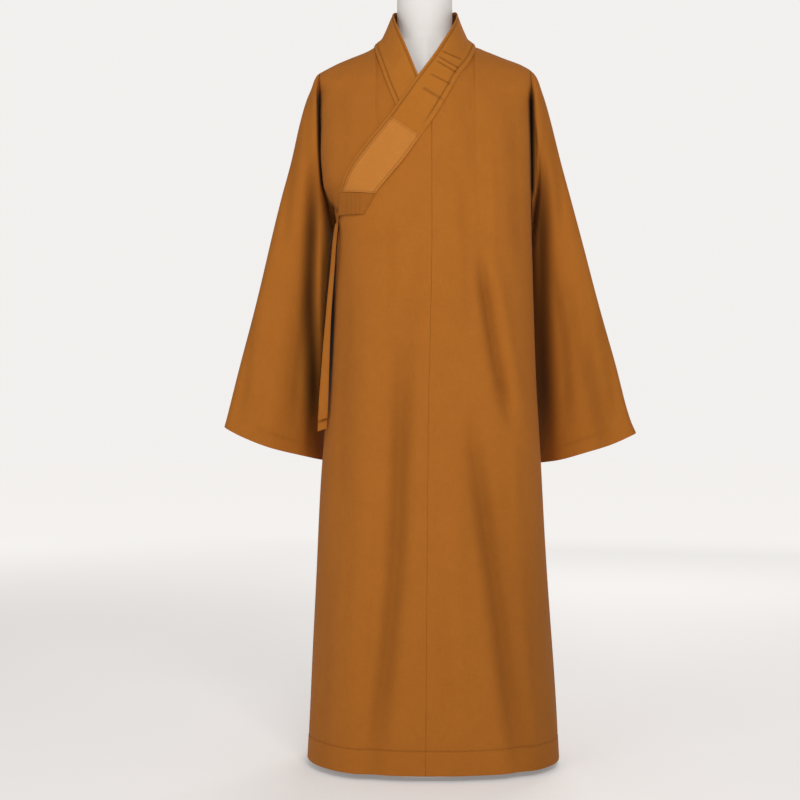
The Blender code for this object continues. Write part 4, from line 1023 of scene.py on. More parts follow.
def tuck_relief(grid):
    """Furrow along each tuck with the small fold that stands below it, and the furrow's mask of painted
    shade.
    """
    px, py = in_photo(grid)
    total, mask = np.zeros_like(px), np.zeros_like(px)
    for (x_a, y_a), (x_b, y_b) in TUCKS:
        length = math.hypot(x_b - x_a, y_b - y_a)
        way_x, way_y = (x_b - x_a) / length, (y_b - y_a) / length
        run = ((px - x_a) * way_x + (py - y_a) * way_y) * PHOTO_SCALE
        off = ((py - y_a) * way_x - (px - x_a) * way_y) * PHOTO_SCALE
        inside = ease(run, -4.0, 0.0) * (1.0 - ease(run, length * PHOTO_SCALE, length * PHOTO_SCALE + 4.0))
        total += inside * (TUCK_RISE * bell(off - TUCK_FOLD, 1.9) - TUCK_DEPTH * bell(off, TUCK_WIDTH))
        mask += inside * bell(off, TUCK_WIDTH)
    return total, mask


def tuck_lines(grid, normal):
    """Points and normals on the band along each tuck's straight line in the photo."""
    px, py = in_photo(grid)
    lines = []
    for (x_a, y_a), (x_b, y_b) in TUCKS:
        points, normals = [], []
        for t in np.linspace(0.0, 1.0, 24):
            off = np.hypot(px - x_a - (x_b - x_a) * t, py - y_a - (y_b - y_a) * t)
            weight = bell(off, 1.0)
            weight /= weight.sum()
            points.append((grid * weight[..., None]).sum(axis=(0, 1)))
            normals.append((normal * weight[..., None]).sum(axis=(0, 1)))
        lines.append((np.array(points), np.array(normals)))
    return lines


def band(name, table, distance, strip_until, tucks):
    """Collar band with rolled edges, its two sewn edge lines and, on one half, the tucks."""
    places = crowded(count(BAND_ROWS), (TUCK_ROWS["place"],), TUCK_ROWS["reach"], TUCK_ROWS["share"])
    places = np.sort(np.append(places, PATCH_START))
    v = crowded(count(BAND_COLUMNS), BAND_PLACES, 0.02, 0.05)
    grid = band_grid(table, places, v, distance)
    outward = out_from_axis(grid)
    normal = grid_normals(grid, outward)
    down, across = along(grid, 0), along(grid, 1)
    far = across[:, -1:] - across
    shown = 1.0 - ease(places, strip_until - 0.06, strip_until)[:, None]
    relief = roll(across, EDGE_ROLL, 2.2) + roll(far, EDGE_ROLL, 2.2)
    relief = relief + groove(far - BAND_EDGE_LINE, GROOVE * 0.75)
    relief = relief + shown * groove(across - BAND_STRIP_LINE, GROOVE * 1.1)
    relief = relief + shown * 0.4 * (1.0 - ease(across, BAND_STRIP_LINE - 2.0, BAND_STRIP_LINE))
    relief = relief + 0.25 * np.sin(down / 9.0 + 1.5 * np.sin(down / 31.0)) * np.sin(across / 13.0)
    # Painted shade: the colour is darkened along the two sewn lines and, on the tucked half, in the tucks'
    # furrows.
    sewn_edge = bell(far - BAND_EDGE_LINE, GROOVE_WIDTH)
    deep = LINE_SHADE * (sewn_edge + shown * bell(across - BAND_STRIP_LINE, GROOVE_WIDTH))
    if tucks:
        furrows, mask = tuck_relief(grid)
        relief = relief + furrows
        deep = deep + TUCK_SHADE * mask
    grid = grid + normal * relief[..., None]
    normal = grid_normals(grid, outward)
    obj = shell(name, grid, normal, BAND_CLOTH, deep=deep)
    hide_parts(name)
    sewn = [column_line(grid, normal, far, BAND_EDGE_LINE)]
    strip = column_line(grid, normal, across, BAND_STRIP_LINE)
    kept = places < strip_until
    sewn.append((strip[0][kept], strip[1][kept]))
    return obj, grid, places, sewn, tuck_lines(grid, normal) if tucks else []


def chest_strip(tip, v):
    """Collar's end piece: a strip across the chest that goes on from the band's last row."""
    last = {name: COLLAR_OUTER[name][-1] for name in ("seam_x", "seam_z", "free_x", "free_z")}
    part = crowded(count(END_ROWS), (0.0, 1.0), 0.06, 0.1)[:, None]
    ends = []
    for edge in ("seam", "free"):
        start = np.array([last[edge + "_x"], 0.0, last[edge + "_z"]])
        stop = np.array([tip[edge + "_x"], 0.0, tip[edge + "_z"]])
        start = start + (stop - start) * SEAM / np.linalg.norm(stop - start)
        ends.append(start + (stop - start) * part)
    share = v[None, :, None]
    grid = (1 - share) * ends[0][:, None, :] + share * ends[1][:, None, :]
    grid[..., 1] = skin_y(grid[..., 0], grid[..., 2], FRONT)
    lift = over_front(grid) - sewn_down(v)
    return grid + grid_normals(grid, out_from_axis(grid)) * lift[..., None]


def collar_end(v):
    """Darker end of the collar, quilted with a few upright rows."""
    grid = chest_strip(COLLAR_END_TIP, v)
    outward = out_from_axis(grid)
    normal = grid_normals(grid, outward)
    down, across = along(grid, 0), along(grid, 1)
    far, low = across[:, -1:] - across, down[-1:] - down
    relief = roll(across, EDGE_ROLL, 2.0) + roll(far, EDGE_ROLL, 2.0)
    relief = relief + roll(down, EDGE_ROLL, 2.0) + roll(low, EDGE_ROLL, 2.0)
    # Painted shade: the colour is darkened along each quilted row's furrow.
    deep = np.zeros_like(down)
    for place in QUILT_ROWS:
        relief = relief + groove(grid[..., 0] - place, QUILT_DEPTH, 1.6)
        deep = deep + QUILT_SHADE * bell(grid[..., 0] - place, GROOVE_WIDTH)
    grid = grid + normal * relief[..., None]
    normal = grid_normals(grid, outward)
    obj = shell("collar_end", grid, normal, END_CLOTH, deep=deep)
    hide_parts("collar_end")
    return obj, [column_line(grid, normal, across, END_STITCH_LINE),
                 column_line(grid, normal, far, END_STITCH_LINE),
                 row_line(grid, normal, low, END_STITCH_LINE)]


def patch(band_points, places, v):
    """Light patch sewn on the collar, its edges a little inside the band's."""
    seat = band_points[places >= PATCH_START]
    share = PATCH_FROM + (PATCH_TO - PATCH_FROM) * crowded(count(PATCH_COLUMNS), (0.0, 1.0), 0.03, 0.08)
    columns = np.interp(share, v, np.arange(len(v)))
    low = np.clip(columns.astype(int), 0, len(v) - 2)
    t = (columns - low)[None, :, None]
    grid = seat[:, low] * (1 - t) + seat[:, low + 1] * t
    outward = out_from_axis(grid)
    normal = grid_normals(grid, outward)
    down, across = along(grid, 0), along(grid, 1)
    far, low = across[:, -1:] - across, down[-1:] - down
    lift = PATCH_THICK + SEAM + np.zeros_like(down)
    # Painted shade: the colour is darkened along the four stitched lines.
    deep = np.zeros_like(down)
    for distance in (across, far, down, low):
        lift = lift + roll(distance, 0.5, 2.0) + groove(distance - PATCH_STITCH_LINE, 0.35, 1.3)
        deep = deep + PATCH_SHADE * bell(distance - PATCH_STITCH_LINE, 1.3)
    lift = lift + 0.2 * np.sin(down / 11.0 + across / 17.0)
    grid = grid + normal * lift[..., None]
    normal = grid_normals(grid, outward)
    obj = shell("collar_patch", grid, normal, PATCH_CLOTH, thick=PATCH_THICK, deep=deep)
    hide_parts("collar_patch")
    lines = [column_line(grid, normal, across, PATCH_STITCH_LINE),
             column_line(grid, normal, far, PATCH_STITCH_LINE),
             row_line(grid, normal, down, PATCH_STITCH_LINE), row_line(grid, normal, low, PATCH_STITCH_LINE)]
    return obj, lines


def on_panel(grid, x, z):
    """Depth of a panel's grid at x and z, read along its columns and then across them."""
    columns = range(grid.shape[1])
    line_x = np.array([np.interp(z, grid[:, c, 2], grid[:, c, 0]) for c in columns])
    line_y = np.array([np.interp(z, grid[:, c, 2], grid[:, c, 1]) for c in columns])
    order = np.argsort(line_x)
    return np.interp(x, line_x[order], line_y[order])


def tie(name, route, under, hidden=False):
    """Flat side tie: a ribbon down its route, turned and narrowed on its way, with a slanted end.

    Its top lies flat against the panel under it, where it is sewn, and the rest hangs free.
    """
    s = np.linspace(0.0, 1.0, count(TIE_ROWS) + 1) ** 1.1
    z = route["height"][0] + (route["height"][-1] - route["height"][0]) * s
    hung = [smooth(z, route["height"], route[axis]) for axis in ("x", "y")]
    free = np.stack([*hung, z], axis=1)
    seat_x = route["seat_x"]
    depth = np.array([on_panel(under, seat_x, height) for height in z])
    beside = np.array([on_panel(under, seat_x + SLOPE_STEP, height) for height in z])
    above = np.array([on_panel(under, seat_x, height + SLOPE_STEP) for height in z])
    slope_x = (beside - depth) / SLOPE_STEP
    slope_z = (above - depth) / SLOPE_STEP
    normal = np.stack([slope_x, -np.ones_like(z), slope_z], axis=1)
    normal /= np.linalg.norm(normal, axis=1, keepdims=True)
    seat = np.stack([np.full_like(z, seat_x), depth, z], axis=1) + (WALL + TIE_SEAT) * normal
    top = route["height"][0]
    seated = ease(z, top - 2.0 * TIE_SEAT_LENGTH, top - TIE_SEAT_LENGTH)
    middle = free + seated[:, None] * (seat - free)
    turn = np.radians(smooth(z, route["height"], route["turn"]))
    turn = turn + seated * (np.arctan(-slope_x) - turn)

    v = crowded(count(TIE_COLUMNS), (0.0, 1.0), 0.08, 0.1) - 0.5
    across = np.stack([np.cos(turn), -np.sin(turn), TIE_SLANT / TIE_WIDTH * s ** 6], axis=1)
    slim = smooth(z, TIE_SLIM["height"], TIE_SLIM["share"])
    span = (v[None, :] - 0.5) * slim[:, None] + 0.5
    grid = middle[:, None, :] + (span * TIE_WIDTH)[..., None] * across[:, None, :]
    outward = np.zeros_like(grid) + np.array([-0.6, -1.0, 0.0])
    normal = grid_normals(grid, outward)
    down, over = along(grid, 0), along(grid, 1)
    far, low = over[:, -1:] - over, down[-1:] - down
    relief = roll(over, 0.4, 1.6) + roll(far, 0.4, 1.6) + roll(down, 0.4, 1.6) + roll(low, 0.4, 1.6)
    relief = relief + groove(over - TIE_STITCH_LINE, 0.3, 1.0) + groove(far - TIE_STITCH_LINE, 0.3, 1.0)
    relief = relief + 0.5 * np.sin(down / 27.0) * ease(down, 30.0, 90.0)
    grid = grid + normal * relief[..., None]
    normal = grid_normals(grid, outward)
    # Painted shade: the inner tie's colour is darkened to near black above its end, which alone shows below
    # the outer tie.
    shaded = ease(grid[..., 2], *TIE_END_SEEN) if hidden else None
    obj = shell(name, grid, normal, CLOTH, thick=TIE_THICK, deep=shaded)
    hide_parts(name)
    return obj, [column_line(grid, normal, over, TIE_STITCH_LINE),
                 column_line(grid, normal, far, TIE_STITCH_LINE),
                 row_line(grid, normal, low, TIE_STITCH_LINE)]


def torso_points():
    """Torso of the form as upright loops, from its front foot over its top to its back foot.

    It is the robe's own skin made narrower and shallower, level at its foot, and with
    a flat plate at its top for the neck.
    """
    half_chest = (skin_value("right", FORM_CHEST) - skin_value("left", FORM_CHEST)) / 2 - FORM_SIDE_INSET
    share = np.sin(np.linspace(-math.pi / 2, math.pi / 2, count(FORM_COLUMNS) + 1))
    faces = []
    for side in (FRONT, BACK):
        top = np.full_like(share, FORM_TOP)
        for _ in range(CUT_STEPS):
            middle = (skin_value("left", top) + skin_value("right", top)) / 2
            x_top = middle + half_chest * share
            reach = smooth(x_top, RIDGE["x"], RIDGE["height"]) - FORM_SHOULDER_GAP
            reach = reach - FORM_NECK_DROP * (1.0 - ease(np.abs(x_top), *FORM_NECK_EDGE))
            reach = reach + FORM_NECK_RISE * np.maximum(SIDE_X - np.abs(x_top), 0.0)
            top = np.minimum(reach, FORM_TOP)
        end_angle = np.arcsin(np.minimum(1.0, (top - CAP_FOOT) / (reach - CAP_FOOT)))
        steps = np.linspace(0.0, 1.0, count(FORM_UPPER_ROWS))
        low = np.linspace(FORM_FOOT, CAP_FOOT, count(FORM_LOWER_ROWS), endpoint=False)
        high = CAP_FOOT + (reach - CAP_FOOT) * np.sin(end_angle * steps[:, None])
        z = np.concatenate([np.repeat(low[:, None], len(share), axis=1), high])
        waist = 1.0 - FORM_WAIST * np.exp(-((z - FORM_WAIST_HEIGHT) / FORM_WAIST_REACH) ** 2)
        foot = np.sqrt(1.0 - (1.0 - ease(z, FORM_FOOT - 30.0, FORM_FOOT + 90.0)) ** 2)
        half = FORM_HIP * waist
        half = half + (half_chest - half) * ease(z, *FORM_WIDENING)
        bulge = (1.0 - np.abs(share) ** ROUNDNESS) ** (1.0 / ROUNDNESS)
        climb = np.clip((z - CAP_FOOT) / (reach - CAP_FOOT), 0.0, 1.0)
        depth = skin_value("front" if side < 0 else "back", np.maximum(z, CAP_FOOT))
        depth = (depth - FORM_INSET) * waist * bulge * np.sqrt(1.0 - climb ** 2)
        x = (middle + half * share) * (1.0 - FOOT_ROUNDING * (1.0 - foot))
        y = MID_Y + side * depth * (1.0 - FOOT_ROUNDING * (1.0 - foot))
        faces.append(np.stack([x, y, z], axis=2))
    return np.concatenate([faces[0], faces[1][::-1]])


def closed_skin(name, grid, material):
    """Solid's closed outer surface: a grid that closes up its rows and is welded at its ends."""
    rows, columns = grid.shape[:2]
    ring = np.concatenate([grid, grid[:1]])
    r, c = grid_corners(rows + 1, columns)
    faces = (r % rows) * columns + c
    u, v = along(ring, 1), along(ring, 0)
    uv = np.stack([u[r.ravel(), c.ravel()], v[r.ravel(), c.ravel()]], axis=1) * MM
    obj = put_in(name, grid.reshape(-1, 3), faces, uv, material)
    return welded(obj)


def welded(obj):
    """Merge the points that meet at poles and flat ends, and close what is left open."""
    work = bmesh.new()
    work.from_mesh(obj.data)
    bmesh.ops.remove_doubles(work, verts=work.verts, dist=WELD)
    bmesh.ops.dissolve_degenerate(work, edges=work.edges, dist=WELD)
    rims = [edge for edge in work.edges if edge.is_boundary]
    if rims:
        bmesh.ops.holes_fill(work, edges=rims, sides=0)
    bmesh.ops.recalc_face_normals(work, faces=work.faces)
    work.to_mesh(obj.data)
    work.free()
    obj.data.shade_smooth()
    obj.data.set_sharp_from_angle(angle=math.radians(CREASE_ANGLE))
    return obj


def rounded(radii, heights, corner):
    """Profile with each corner cut to a curve: a quadratic curve between two points near it."""
    points = np.stack([radii, heights], axis=1).astype(float)
    path = [points[:1]]
    t = np.linspace(0.0, 1.0, 6)[:, None]
    for before, here, after in zip(points[:-2], points[1:-1], points[2:]):
        back, ahead = before - here, after - here
        start = here + back * min(0.45, corner / np.linalg.norm(back))
        stop = here + ahead * min(0.45, corner / np.linalg.norm(ahead))
        path.append((1 - t) ** 2 * start + 2 * t * (1 - t) * here + t * t * stop)
    path.append(points[-1:])
    return np.concatenate(path)


def lathe(name, profile, corner, material, centre_y):
    """Solid turned about an upright axis: its rounded profile carried round a circle."""
    path = rounded(profile["radius"], profile["height"], corner)
    angle = np.linspace(0.0, 2.0 * math.pi, count(LATHE_SIDES), endpoint=False)
    x = path[None, :, 0] * np.cos(angle)[:, None]
    y = centre_y + path[None, :, 0] * np.sin(angle)[:, None]
    z = np.repeat(path[None, :, 1], len(angle), axis=0)
    return closed_skin(name, np.stack([x, y, z], axis=2), material)


def socket(group, name, kind, direction, value=None):
    """Named input or output of a shader node group."""
    made = group.interface.new_socket(name=name, in_out=direction, socket_type=kind)
    if value is not None:
        made.default_value = value
    return made


def node(tree, kind, **values):
    """Node of a kind, with its own settings."""
    made = tree.nodes.new(kind)
    for key, value in values.items():
        setattr(made, key, value)
    return made


def arithmetic(tree, operation, first, second=None):
    """Math node between two sockets or numbers, giving its output socket."""
    made = node(tree, "ShaderNodeMath", operation=operation)
    for slot_index, value in enumerate((first, second)):
        if value is None:
            continue
        if isinstance(value, (int, float)):
            made.inputs[slot_index].default_value = value
        else:
            tree.links.new(value, made.inputs[slot_index])
    return made.outputs[0]


def noise(tree, vector, scale, detail, roughness=0.55):
    """Noise value over a vector, from 0 to 1."""
    made = node(tree, "ShaderNodeTexNoise")
    made.inputs["Scale"].default_value = scale
    made.inputs["Detail"].default_value = detail
    made.inputs["Roughness"].default_value = roughness
    tree.links.new(vector, made.inputs["Vector"])
    return made.outputs["Fac"]


def mixed(tree, share, first, second, blend="MIX"):
    """Colour mixed from two colours or sockets by a share."""
    made = node(tree, "ShaderNodeMix", data_type="RGBA", blend_type=blend)
    for name, value in (("Factor", share), ("A", first), ("B", second)):
        kind = "VALUE" if name == "Factor" else "RGBA"
        target = [s for s in made.inputs if s.name == name and s.type == kind][0]
        if hasattr(value, "links"):
            tree.links.new(value, target)
        elif name == "Factor":
            target.default_value = value
        else:
            target.default_value = (*value, 1.0)
    return [s for s in made.outputs if s.type == "RGBA"][0]


def weave_group():
    """Plain weave with nap: a lattice of raised crossings, slubs, and fuzz over it.

    The lattice is the product of two sine waves a thread apart, and slubs are noise drawn
    out along the warp. It gives a tint, a height and a roughness, and the tint is darkened
    towards near black as painted shade where the point attribute "deep" marks it.
    """
    group = bpy.data.node_groups.new("plain weave", "ShaderNodeTree")
    socket(group, "Thread", "NodeSocketFloat", "INPUT", 0.001)
    socket(group, "Cloth Colour", "NodeSocketColor", "INPUT", (0.4, 0.15, 0.03, 1.0))
    socket(group, "Deep Colour", "NodeSocketColor", "INPUT", (0.2, 0.06, 0.01, 1.0))
    socket(group, "Painted Shade Colour", "NodeSocketColor", "INPUT", (0.03, 0.008, 0.001, 1.0))
    socket(group, "Mottle", "NodeSocketFloat", "INPUT", 0.3)
    socket(group, "Colour", "NodeSocketColor", "OUTPUT")
    socket(group, "Height", "NodeSocketFloat", "OUTPUT")
    socket(group, "Rough", "NodeSocketFloat", "OUTPUT")
    start = node(group, "NodeGroupInput")
    end = node(group, "NodeGroupOutput")
    place = node(group, "ShaderNodeUVMap", uv_map="cloth")
    parts = node(group, "ShaderNodeSeparateXYZ")
    group.links.new(place.outputs["UV"], parts.inputs[0])
    waves = []
    for axis in (0, 1):
        turns = arithmetic(group, "DIVIDE", parts.outputs[axis], start.outputs["Thread"])
        waves.append(arithmetic(group, "SINE", arithmetic(group, "MULTIPLY", turns, math.pi)))
    lattice = arithmetic(group, "MULTIPLY", waves[0], waves[1])

    slubs = []
    for stretch in ((1.0, 0.1, 1.0), (0.1, 1.0, 1.0)):
        drawn = node(group, "ShaderNodeMapping")
        drawn.inputs["Scale"].default_value = stretch
        group.links.new(place.outputs["UV"], drawn.inputs["Vector"])
        slubs.append(noise(group, drawn.outputs[0], 520.0, 2.0))
    slub = arithmetic(group, "MULTIPLY", arithmetic(group, "ADD", *slubs), 0.5)
    fuzz = noise(group, place.outputs["UV"], 420.0, 3.0, 0.7)
    cloud = noise(group, place.outputs["UV"], 16.0, 3.0)

    height = arithmetic(group, "MULTIPLY", lattice, 0.35)
    height = arithmetic(group, "ADD", height, arithmetic(group, "MULTIPLY", slub, 0.5))
    height = arithmetic(group, "ADD", height, arithmetic(group, "MULTIPLY", fuzz, 0.6))
    group.links.new(height, end.inputs["Height"])

    shade = arithmetic(group, "MULTIPLY", cloud, 0.35)
    shade = arithmetic(group, "ADD", shade, arithmetic(group, "MULTIPLY", fuzz, 0.35))
    shade = arithmetic(group, "ADD", shade, arithmetic(group, "MULTIPLY", slub, 0.9))
    share = arithmetic(group, "MULTIPLY", arithmetic(group, "SUBTRACT", shade, 0.3), start.outputs["Mottle"])
    cloth = mixed(group, share, start.outputs["Cloth Colour"], start.outputs["Deep Colour"])
    # Painted shade: the point attribute "deep" mixes the colour towards the near-black painted shade colour.
    mask = node(group, "ShaderNodeAttribute", attribute_name="deep")
    dark = arithmetic(group, "MINIMUM", mask.outputs["Fac"], 1.0)
    colour = mixed(group, dark, cloth, start.outputs["Painted Shade Colour"])
    group.links.new(colour, end.inputs["Colour"])
    rough = arithmetic(group, "ADD", arithmetic(group, "MULTIPLY", fuzz, 0.12), 0.8)
    group.links.new(rough, end.inputs["Rough"])
    return group


def grain_group():
    """Fine uneven grain on Object coordinates, for paint and moulded plastic."""
    group = bpy.data.node_groups.new("fine grain", "ShaderNodeTree")
    socket(group, "Scale", "NodeSocketFloat", "INPUT", 300.0)
    socket(group, "Base Colour", "NodeSocketColor", "INPUT", (0.7, 0.7, 0.7, 1.0))
    socket(group, "Worn Colour", "NodeSocketColor", "INPUT", (0.5, 0.5, 0.5, 1.0))
    socket(group, "Colour", "NodeSocketColor", "OUTPUT")
    socket(group, "Height", "NodeSocketFloat", "OUTPUT")
    socket(group, "Rough", "NodeSocketFloat", "OUTPUT")
    start = node(group, "NodeGroupInput")
    end = node(group, "NodeGroupOutput")
    place = node(group, "ShaderNodeTexCoord")
    scaled = node(group, "ShaderNodeVectorMath", operation="SCALE")
    group.links.new(place.outputs["Object"], scaled.inputs[0])
    group.links.new(start.outputs["Scale"], scaled.inputs["Scale"])
    fine = noise(group, scaled.outputs[0], 1.0, 3.0)
    broad = noise(group, place.outputs["Object"], 9.0, 3.0)
    group.links.new(fine, end.inputs["Height"])
    share = arithmetic(group, "MULTIPLY", arithmetic(group, "POWER", broad, 3.0), 0.9)
    colour = mixed(group, share, start.outputs["Base Colour"], start.outputs["Worn Colour"])
    group.links.new(colour, end.inputs["Colour"])
    rough = arithmetic(group, "ADD", arithmetic(group, "MULTIPLY", broad, 0.2), 0.3)
    group.links.new(rough, end.inputs["Rough"])
    return group


def woven(name, colour, deep, thread=0.0011, mottle=0.7, bump=0.4, sheen=0.04):
    """Cloth material: the plain weave's colour, roughness and height, and a soft sheen."""
    material = bpy.data.materials.new(name)
    material.use_nodes = True
    tree = material.node_tree
    shader = tree.nodes["Principled BSDF"]
    weave = node(tree, "ShaderNodeGroup", node_tree=WEAVE)
    weave.inputs["Thread"].default_value = thread
    weave.inputs["Cloth Colour"].default_value = (*colour, 1.0)
    weave.inputs["Deep Colour"].default_value = (*deep, 1.0)
    # Painted shade colour: the cloth's own colour scaled down to near black.
    weave.inputs["Painted Shade Colour"].default_value = (*[PAINTED_SHADE_TINT * value for value in colour], 1.0)
    weave.inputs["Mottle"].default_value = mottle
    raised = node(tree, "ShaderNodeBump")
    raised.inputs["Strength"].default_value = bump
    raised.inputs["Distance"].default_value = 0.0006
    tree.links.new(weave.outputs["Height"], raised.inputs["Height"])
    tree.links.new(raised.outputs[0], shader.inputs["Normal"])
    tree.links.new(weave.outputs["Colour"], shader.inputs["Base Color"])
    tree.links.new(weave.outputs["Rough"], shader.inputs["Roughness"])
    shader.inputs["Sheen Weight"].default_value = sheen
    shader.inputs["Sheen Roughness"].default_value = 0.5
    shader.inputs["Sheen Tint"].default_value = (1.0, 0.72, 0.45, 1.0)
    shader.inputs["Specular IOR Level"].default_value = 0.12
    return material


def coated(name, colour, worn, scale, bump, metallic=0.0):
    """Paint or plastic material with a fine grain."""
    material = bpy.data.materials.new(name)
    material.use_nodes = True
    tree = material.node_tree
    shader = tree.nodes["Principled BSDF"]
    grain = node(tree, "ShaderNodeGroup", node_tree=GRAIN)
    grain.inputs["Scale"].default_value = scale
    grain.inputs["Base Colour"].default_value = (*colour, 1.0)
    grain.inputs["Worn Colour"].default_value = (*worn, 1.0)
    raised = node(tree, "ShaderNodeBump")
    raised.inputs["Strength"].default_value = bump
    raised.inputs["Distance"].default_value = 0.0003
    tree.links.new(grain.outputs["Height"], raised.inputs["Height"])
    tree.links.new(raised.outputs[0], shader.inputs["Normal"])
    tree.links.new(grain.outputs["Colour"], shader.inputs["Base Color"])
    tree.links.new(grain.outputs["Rough"], shader.inputs["Roughness"])
    shader.inputs["Metallic"].default_value = metallic
    return material


def plain(name, colour, reach, glow, roughness=0.9):
    """Plain material for the floor, whose own light grows from one distance to another."""
    material = bpy.data.materials.new(name)
    material.use_nodes = True
    tree = material.node_tree
    shader = tree.nodes["Principled BSDF"]
    shader.inputs["Base Color"].default_value = (*colour, 1.0)
    shader.inputs["Roughness"].default_value = roughness
    shader.inputs["Emission Color"].default_value = (*colour, 1.0)
    place = node(tree, "ShaderNodeTexCoord")
    away = node(tree, "ShaderNodeVectorMath", operation="LENGTH")
    ramp = node(tree, "ShaderNodeMapRange", interpolation_type="SMOOTHSTEP")
    tree.links.new(place.outputs["Object"], away.inputs[0])
    tree.links.new(away.outputs["Value"], ramp.inputs["Value"])
    for name, value in zip(("From Min", "From Max", "To Min", "To Max"), (*reach, *glow)):
        ramp.inputs[name].default_value = value
    tree.links.new(ramp.outputs["Result"], shader.inputs["Emission Strength"])
    return material


def body_panels():
    """Two backs, the wearer's left front, the overlap and the inner front."""
    half = SEAM / 2
    ridge = ridge_height

    def below(table, low_side):
        """Top line that follows a table on one side of its end and the shoulder past it."""
        limit = table["x"][-1] if low_side < 0 else table["x"][0]
        inside = (lambda x: x < limit) if low_side < 0 else (lambda x: x > limit)
        return lambda x: np.where(inside(x), smooth(x, table["x"], table["height"]), ridge(x))

    def back_top(x):
        neck = smooth(x, BACK_NECK["x"], BACK_NECK["height"])
        return np.where(np.abs(x) < BACK_NECK["x"][-1], neck, ridge(x))

    def centre_back(offset):
        return lambda z: np.asarray(z) * 0.0 + offset

    def front_seam(offset):
        return lambda z: centre_front(z) + offset

    def side_edge(name, offset):
        return lambda z: skin_value(name, z) + offset

    def overlap_edge(z):
        setback = smooth(z, OVERLAP_SETBACK["height"], OVERLAP_SETBACK["distance"])
        return skin_value("left", z) + half + setback

    left_edge, right_edge = side_edge("left", half), side_edge("right", -half)
    cuts = (
        ("back_left", BACK, centre_back(half), right_edge, back_top, 0.0),
        ("back_right", BACK, centre_back(-half), left_edge, back_top, 0.0),
        ("front_left", FRONT, front_seam(half), right_edge, below(UNDER_COLLAR, -1), 0.0),
        ("front_overlap", FRONT, front_seam(-half), overlap_edge, below(UNDER_COLLAR, -1), 0.0),
        ("front_inner", FRONT, front_seam(-half), left_edge, below(UNDER_INNER_COLLAR, 1), INNER_REACH),
    )
    made = {}
    for name, side, inner_edge, outer_edge, top_line, first in cuts:
        grid = panel_grid(side, inner_edge, outer_edge, top_line, first)
        lifted = name in ("front_left", "front_overlap")
        lift = over_wrap(grid) if lifted else np.zeros(grid.shape[:2])
        made[name] = body_panel(name, grid, lift, free_edge=name == "front_overlap")
    return made


WEAVE = weave_group()
GRAIN = grain_group()
CLOTH = woven("robe cloth", (0.44, 0.150, 0.019), (0.26, 0.076, 0.008))
BAND_CLOTH = woven("collar cloth", (0.46, 0.162, 0.020), (0.28, 0.085, 0.009))
END_CLOTH = woven("collar end cloth", (0.37, 0.125, 0.016), (0.24, 0.070, 0.007))
PATCH_CLOTH = woven("collar patch cloth", (0.56, 0.215, 0.040), (0.38, 0.130, 0.020),
                    thread=0.0009, mottle=0.9)
THREAD = woven("sewing thread", (0.27, 0.086, 0.011), (0.15, 0.042, 0.005), thread=0.0005, bump=0.1)
COVER = woven("form cover", (0.76, 0.735, 0.71), (0.66, 0.63, 0.60), thread=0.0008, mottle=0.3, bump=0.25)
CAP = coated("form cap", (0.80, 0.78, 0.74), (0.70, 0.67, 0.62), 260.0, 0.12)
STEEL = coated("painted steel", (0.75, 0.74, 0.72), (0.62, 0.61, 0.58), 420.0, 0.18, metallic=0.1)

panels = body_panels()
sleeve("sleeve_left", SLEEVE_RIGHT, 1.0, SLEEVE_RIGHT_FOLDS, SLEEVE_RIGHT_CREASES)
sleeve("sleeve_right", SLEEVE_LEFT, -1.0, SLEEVE_LEFT_FOLDS, SLEEVE_LEFT_CREASES)

outer = band("collar_outer", COLLAR_OUTER, over_front, OUTER_STRIP_END, True)
inner = band("collar_inner", COLLAR_INNER, over_shoulder, 1.0, False)
BAND_SHARES = crowded(count(BAND_COLUMNS), BAND_PLACES, 0.02, 0.05)
end_obj, end_rows = collar_end(BAND_SHARES)
patch_obj, patch_rows = patch(outer[1], outer[2], BAND_SHARES)
tie_outer, tie_outer_rows = tie("tie_outer", TIE_OUTER, panels["front_inner"][1])
tie_inner, tie_inner_rows = tie("tie_inner", TIE_INNER, panels["front_inner"][1], hidden=True)

stitches("hem_stitches", [line for name in ("back_left", "back_right", "front_left", "front_overlap")
                          for line in panels[name][2]])
stitches("overlap_edge_stitches", panels["front_overlap"][3])
stitches("collar_stitches", outer[3] + inner[3])
stitches("tuck_stitches", outer[4], pitch=2.9, length=2.2)
stitches("collar_end_stitches", end_rows)
stitches("patch_stitches", patch_rows, pitch=3.0, length=2.2, radius=0.25)
stitches("tie_stitches", tie_outer_rows + tie_inner_rows, pitch=3.0, length=2.2, radius=0.22)

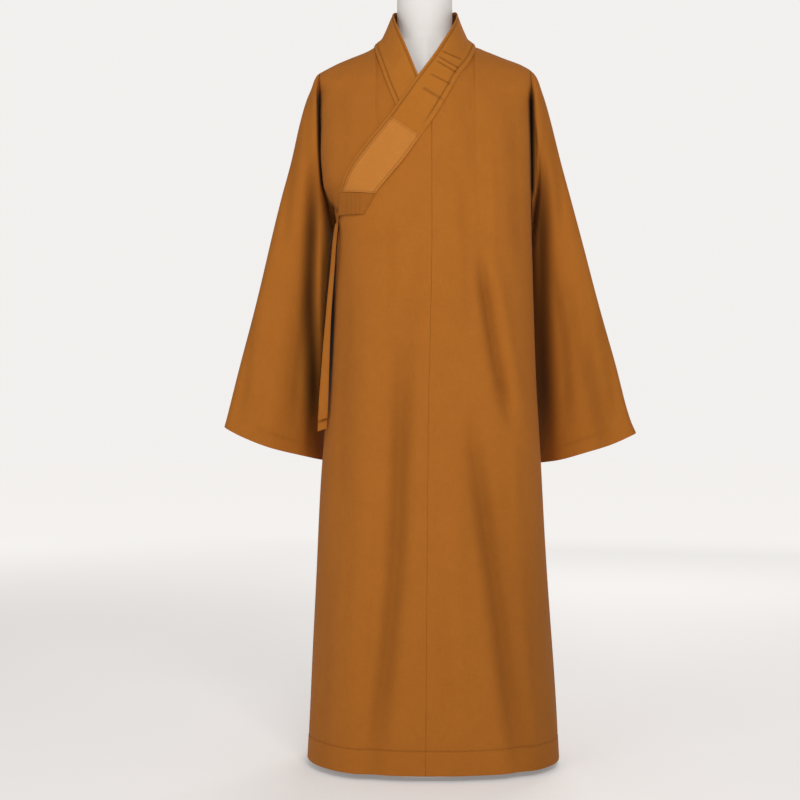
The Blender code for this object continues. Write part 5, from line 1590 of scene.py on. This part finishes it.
torso = closed_skin("torso_cover", torso_points(), COVER)
neck = lathe("neck_cover", NECK_CURVE, 12.0, COVER, MID_Y)
cap = lathe("neck_cap", CAP_PROFILE, 3.0, CAP, MID_Y)
base = lathe("base_disc", BASE_PROFILE, 2.5, STEEL, 0.0)
pole = lathe("pole", POLE_PROFILE, 1.0, STEEL, 0.0)
for obj, name, slot_name in ((torso, "form_torso", "form_cover"), (neck, "form_neck", "form_cover"),
                             (cap, "form_cap", "form_cap"), (base, "stand_base", "stand_steel"),
                             (pole, "stand_pole", "stand_steel")):
    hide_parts(name)

disc = bpy.data.meshes.new("floor")
around = np.linspace(0.0, 2.0 * math.pi, 96, endpoint=False)
rim = np.stack([FLOOR_RADIUS * np.cos(around), FLOOR_RADIUS * np.sin(around), 0.0 * around], axis=1)
disc.from_pydata(rim.tolist(), [], [list(range(96))])
disc.materials.append(plain("floor", FLOOR_COLOUR, FLOOR_REACH, FLOOR_GLOW))
floor = bpy.data.objects.new("floor", disc)
bpy.context.scene.collection.objects.link(floor)

world = bpy.data.worlds.new("soft studio")
world.use_nodes = True
sky = world.node_tree
seen = node(sky, "ShaderNodeLightPath").outputs["Is Camera Ray"]
strength = arithmetic(sky, "MULTIPLY", seen, WORLD_SEEN - WORLD_LIGHT)
sky.links.new(arithmetic(sky, "ADD", strength, WORLD_LIGHT), sky.nodes["Background"].inputs["Strength"])
sky.nodes["Background"].inputs["Color"].default_value = WORLD_COLOUR
bpy.context.scene.world = world


def soft_light(name, place, aim, size, watts):
    """Large square area light at a place, aimed at a point (metres)."""
    lamp = bpy.data.lights.new(name, "AREA")
    lamp.shape = "SQUARE"
    lamp.size = size
    lamp.energy = watts
    obj = bpy.data.objects.new(name, lamp)
    obj.location = place
    direction = Vector(aim) - Vector(place)
    obj.rotation_euler = direction.to_track_quat("-Z", "Y").to_euler()
    bpy.context.scene.collection.objects.link(obj)


for light in LIGHTS:
    soft_light(*light)

lens = bpy.data.cameras.new("photo")
lens.sensor_width = SENSOR
lens.lens = SENSOR * CAMERA_DISTANCE / (PHOTO_SIZE * PHOTO_SCALE)
camera = bpy.data.objects.new("photo", lens)
camera.location = (CAMERA_X * MM, -CAMERA_DISTANCE * MM, CAMERA_HEIGHT * MM)
camera.rotation_euler = (math.pi / 2, 0.0, 0.0)
bpy.context.scene.collection.objects.link(camera)
bpy.context.scene.camera = camera
bpy.context.scene.view_settings.view_transform = "Standard"
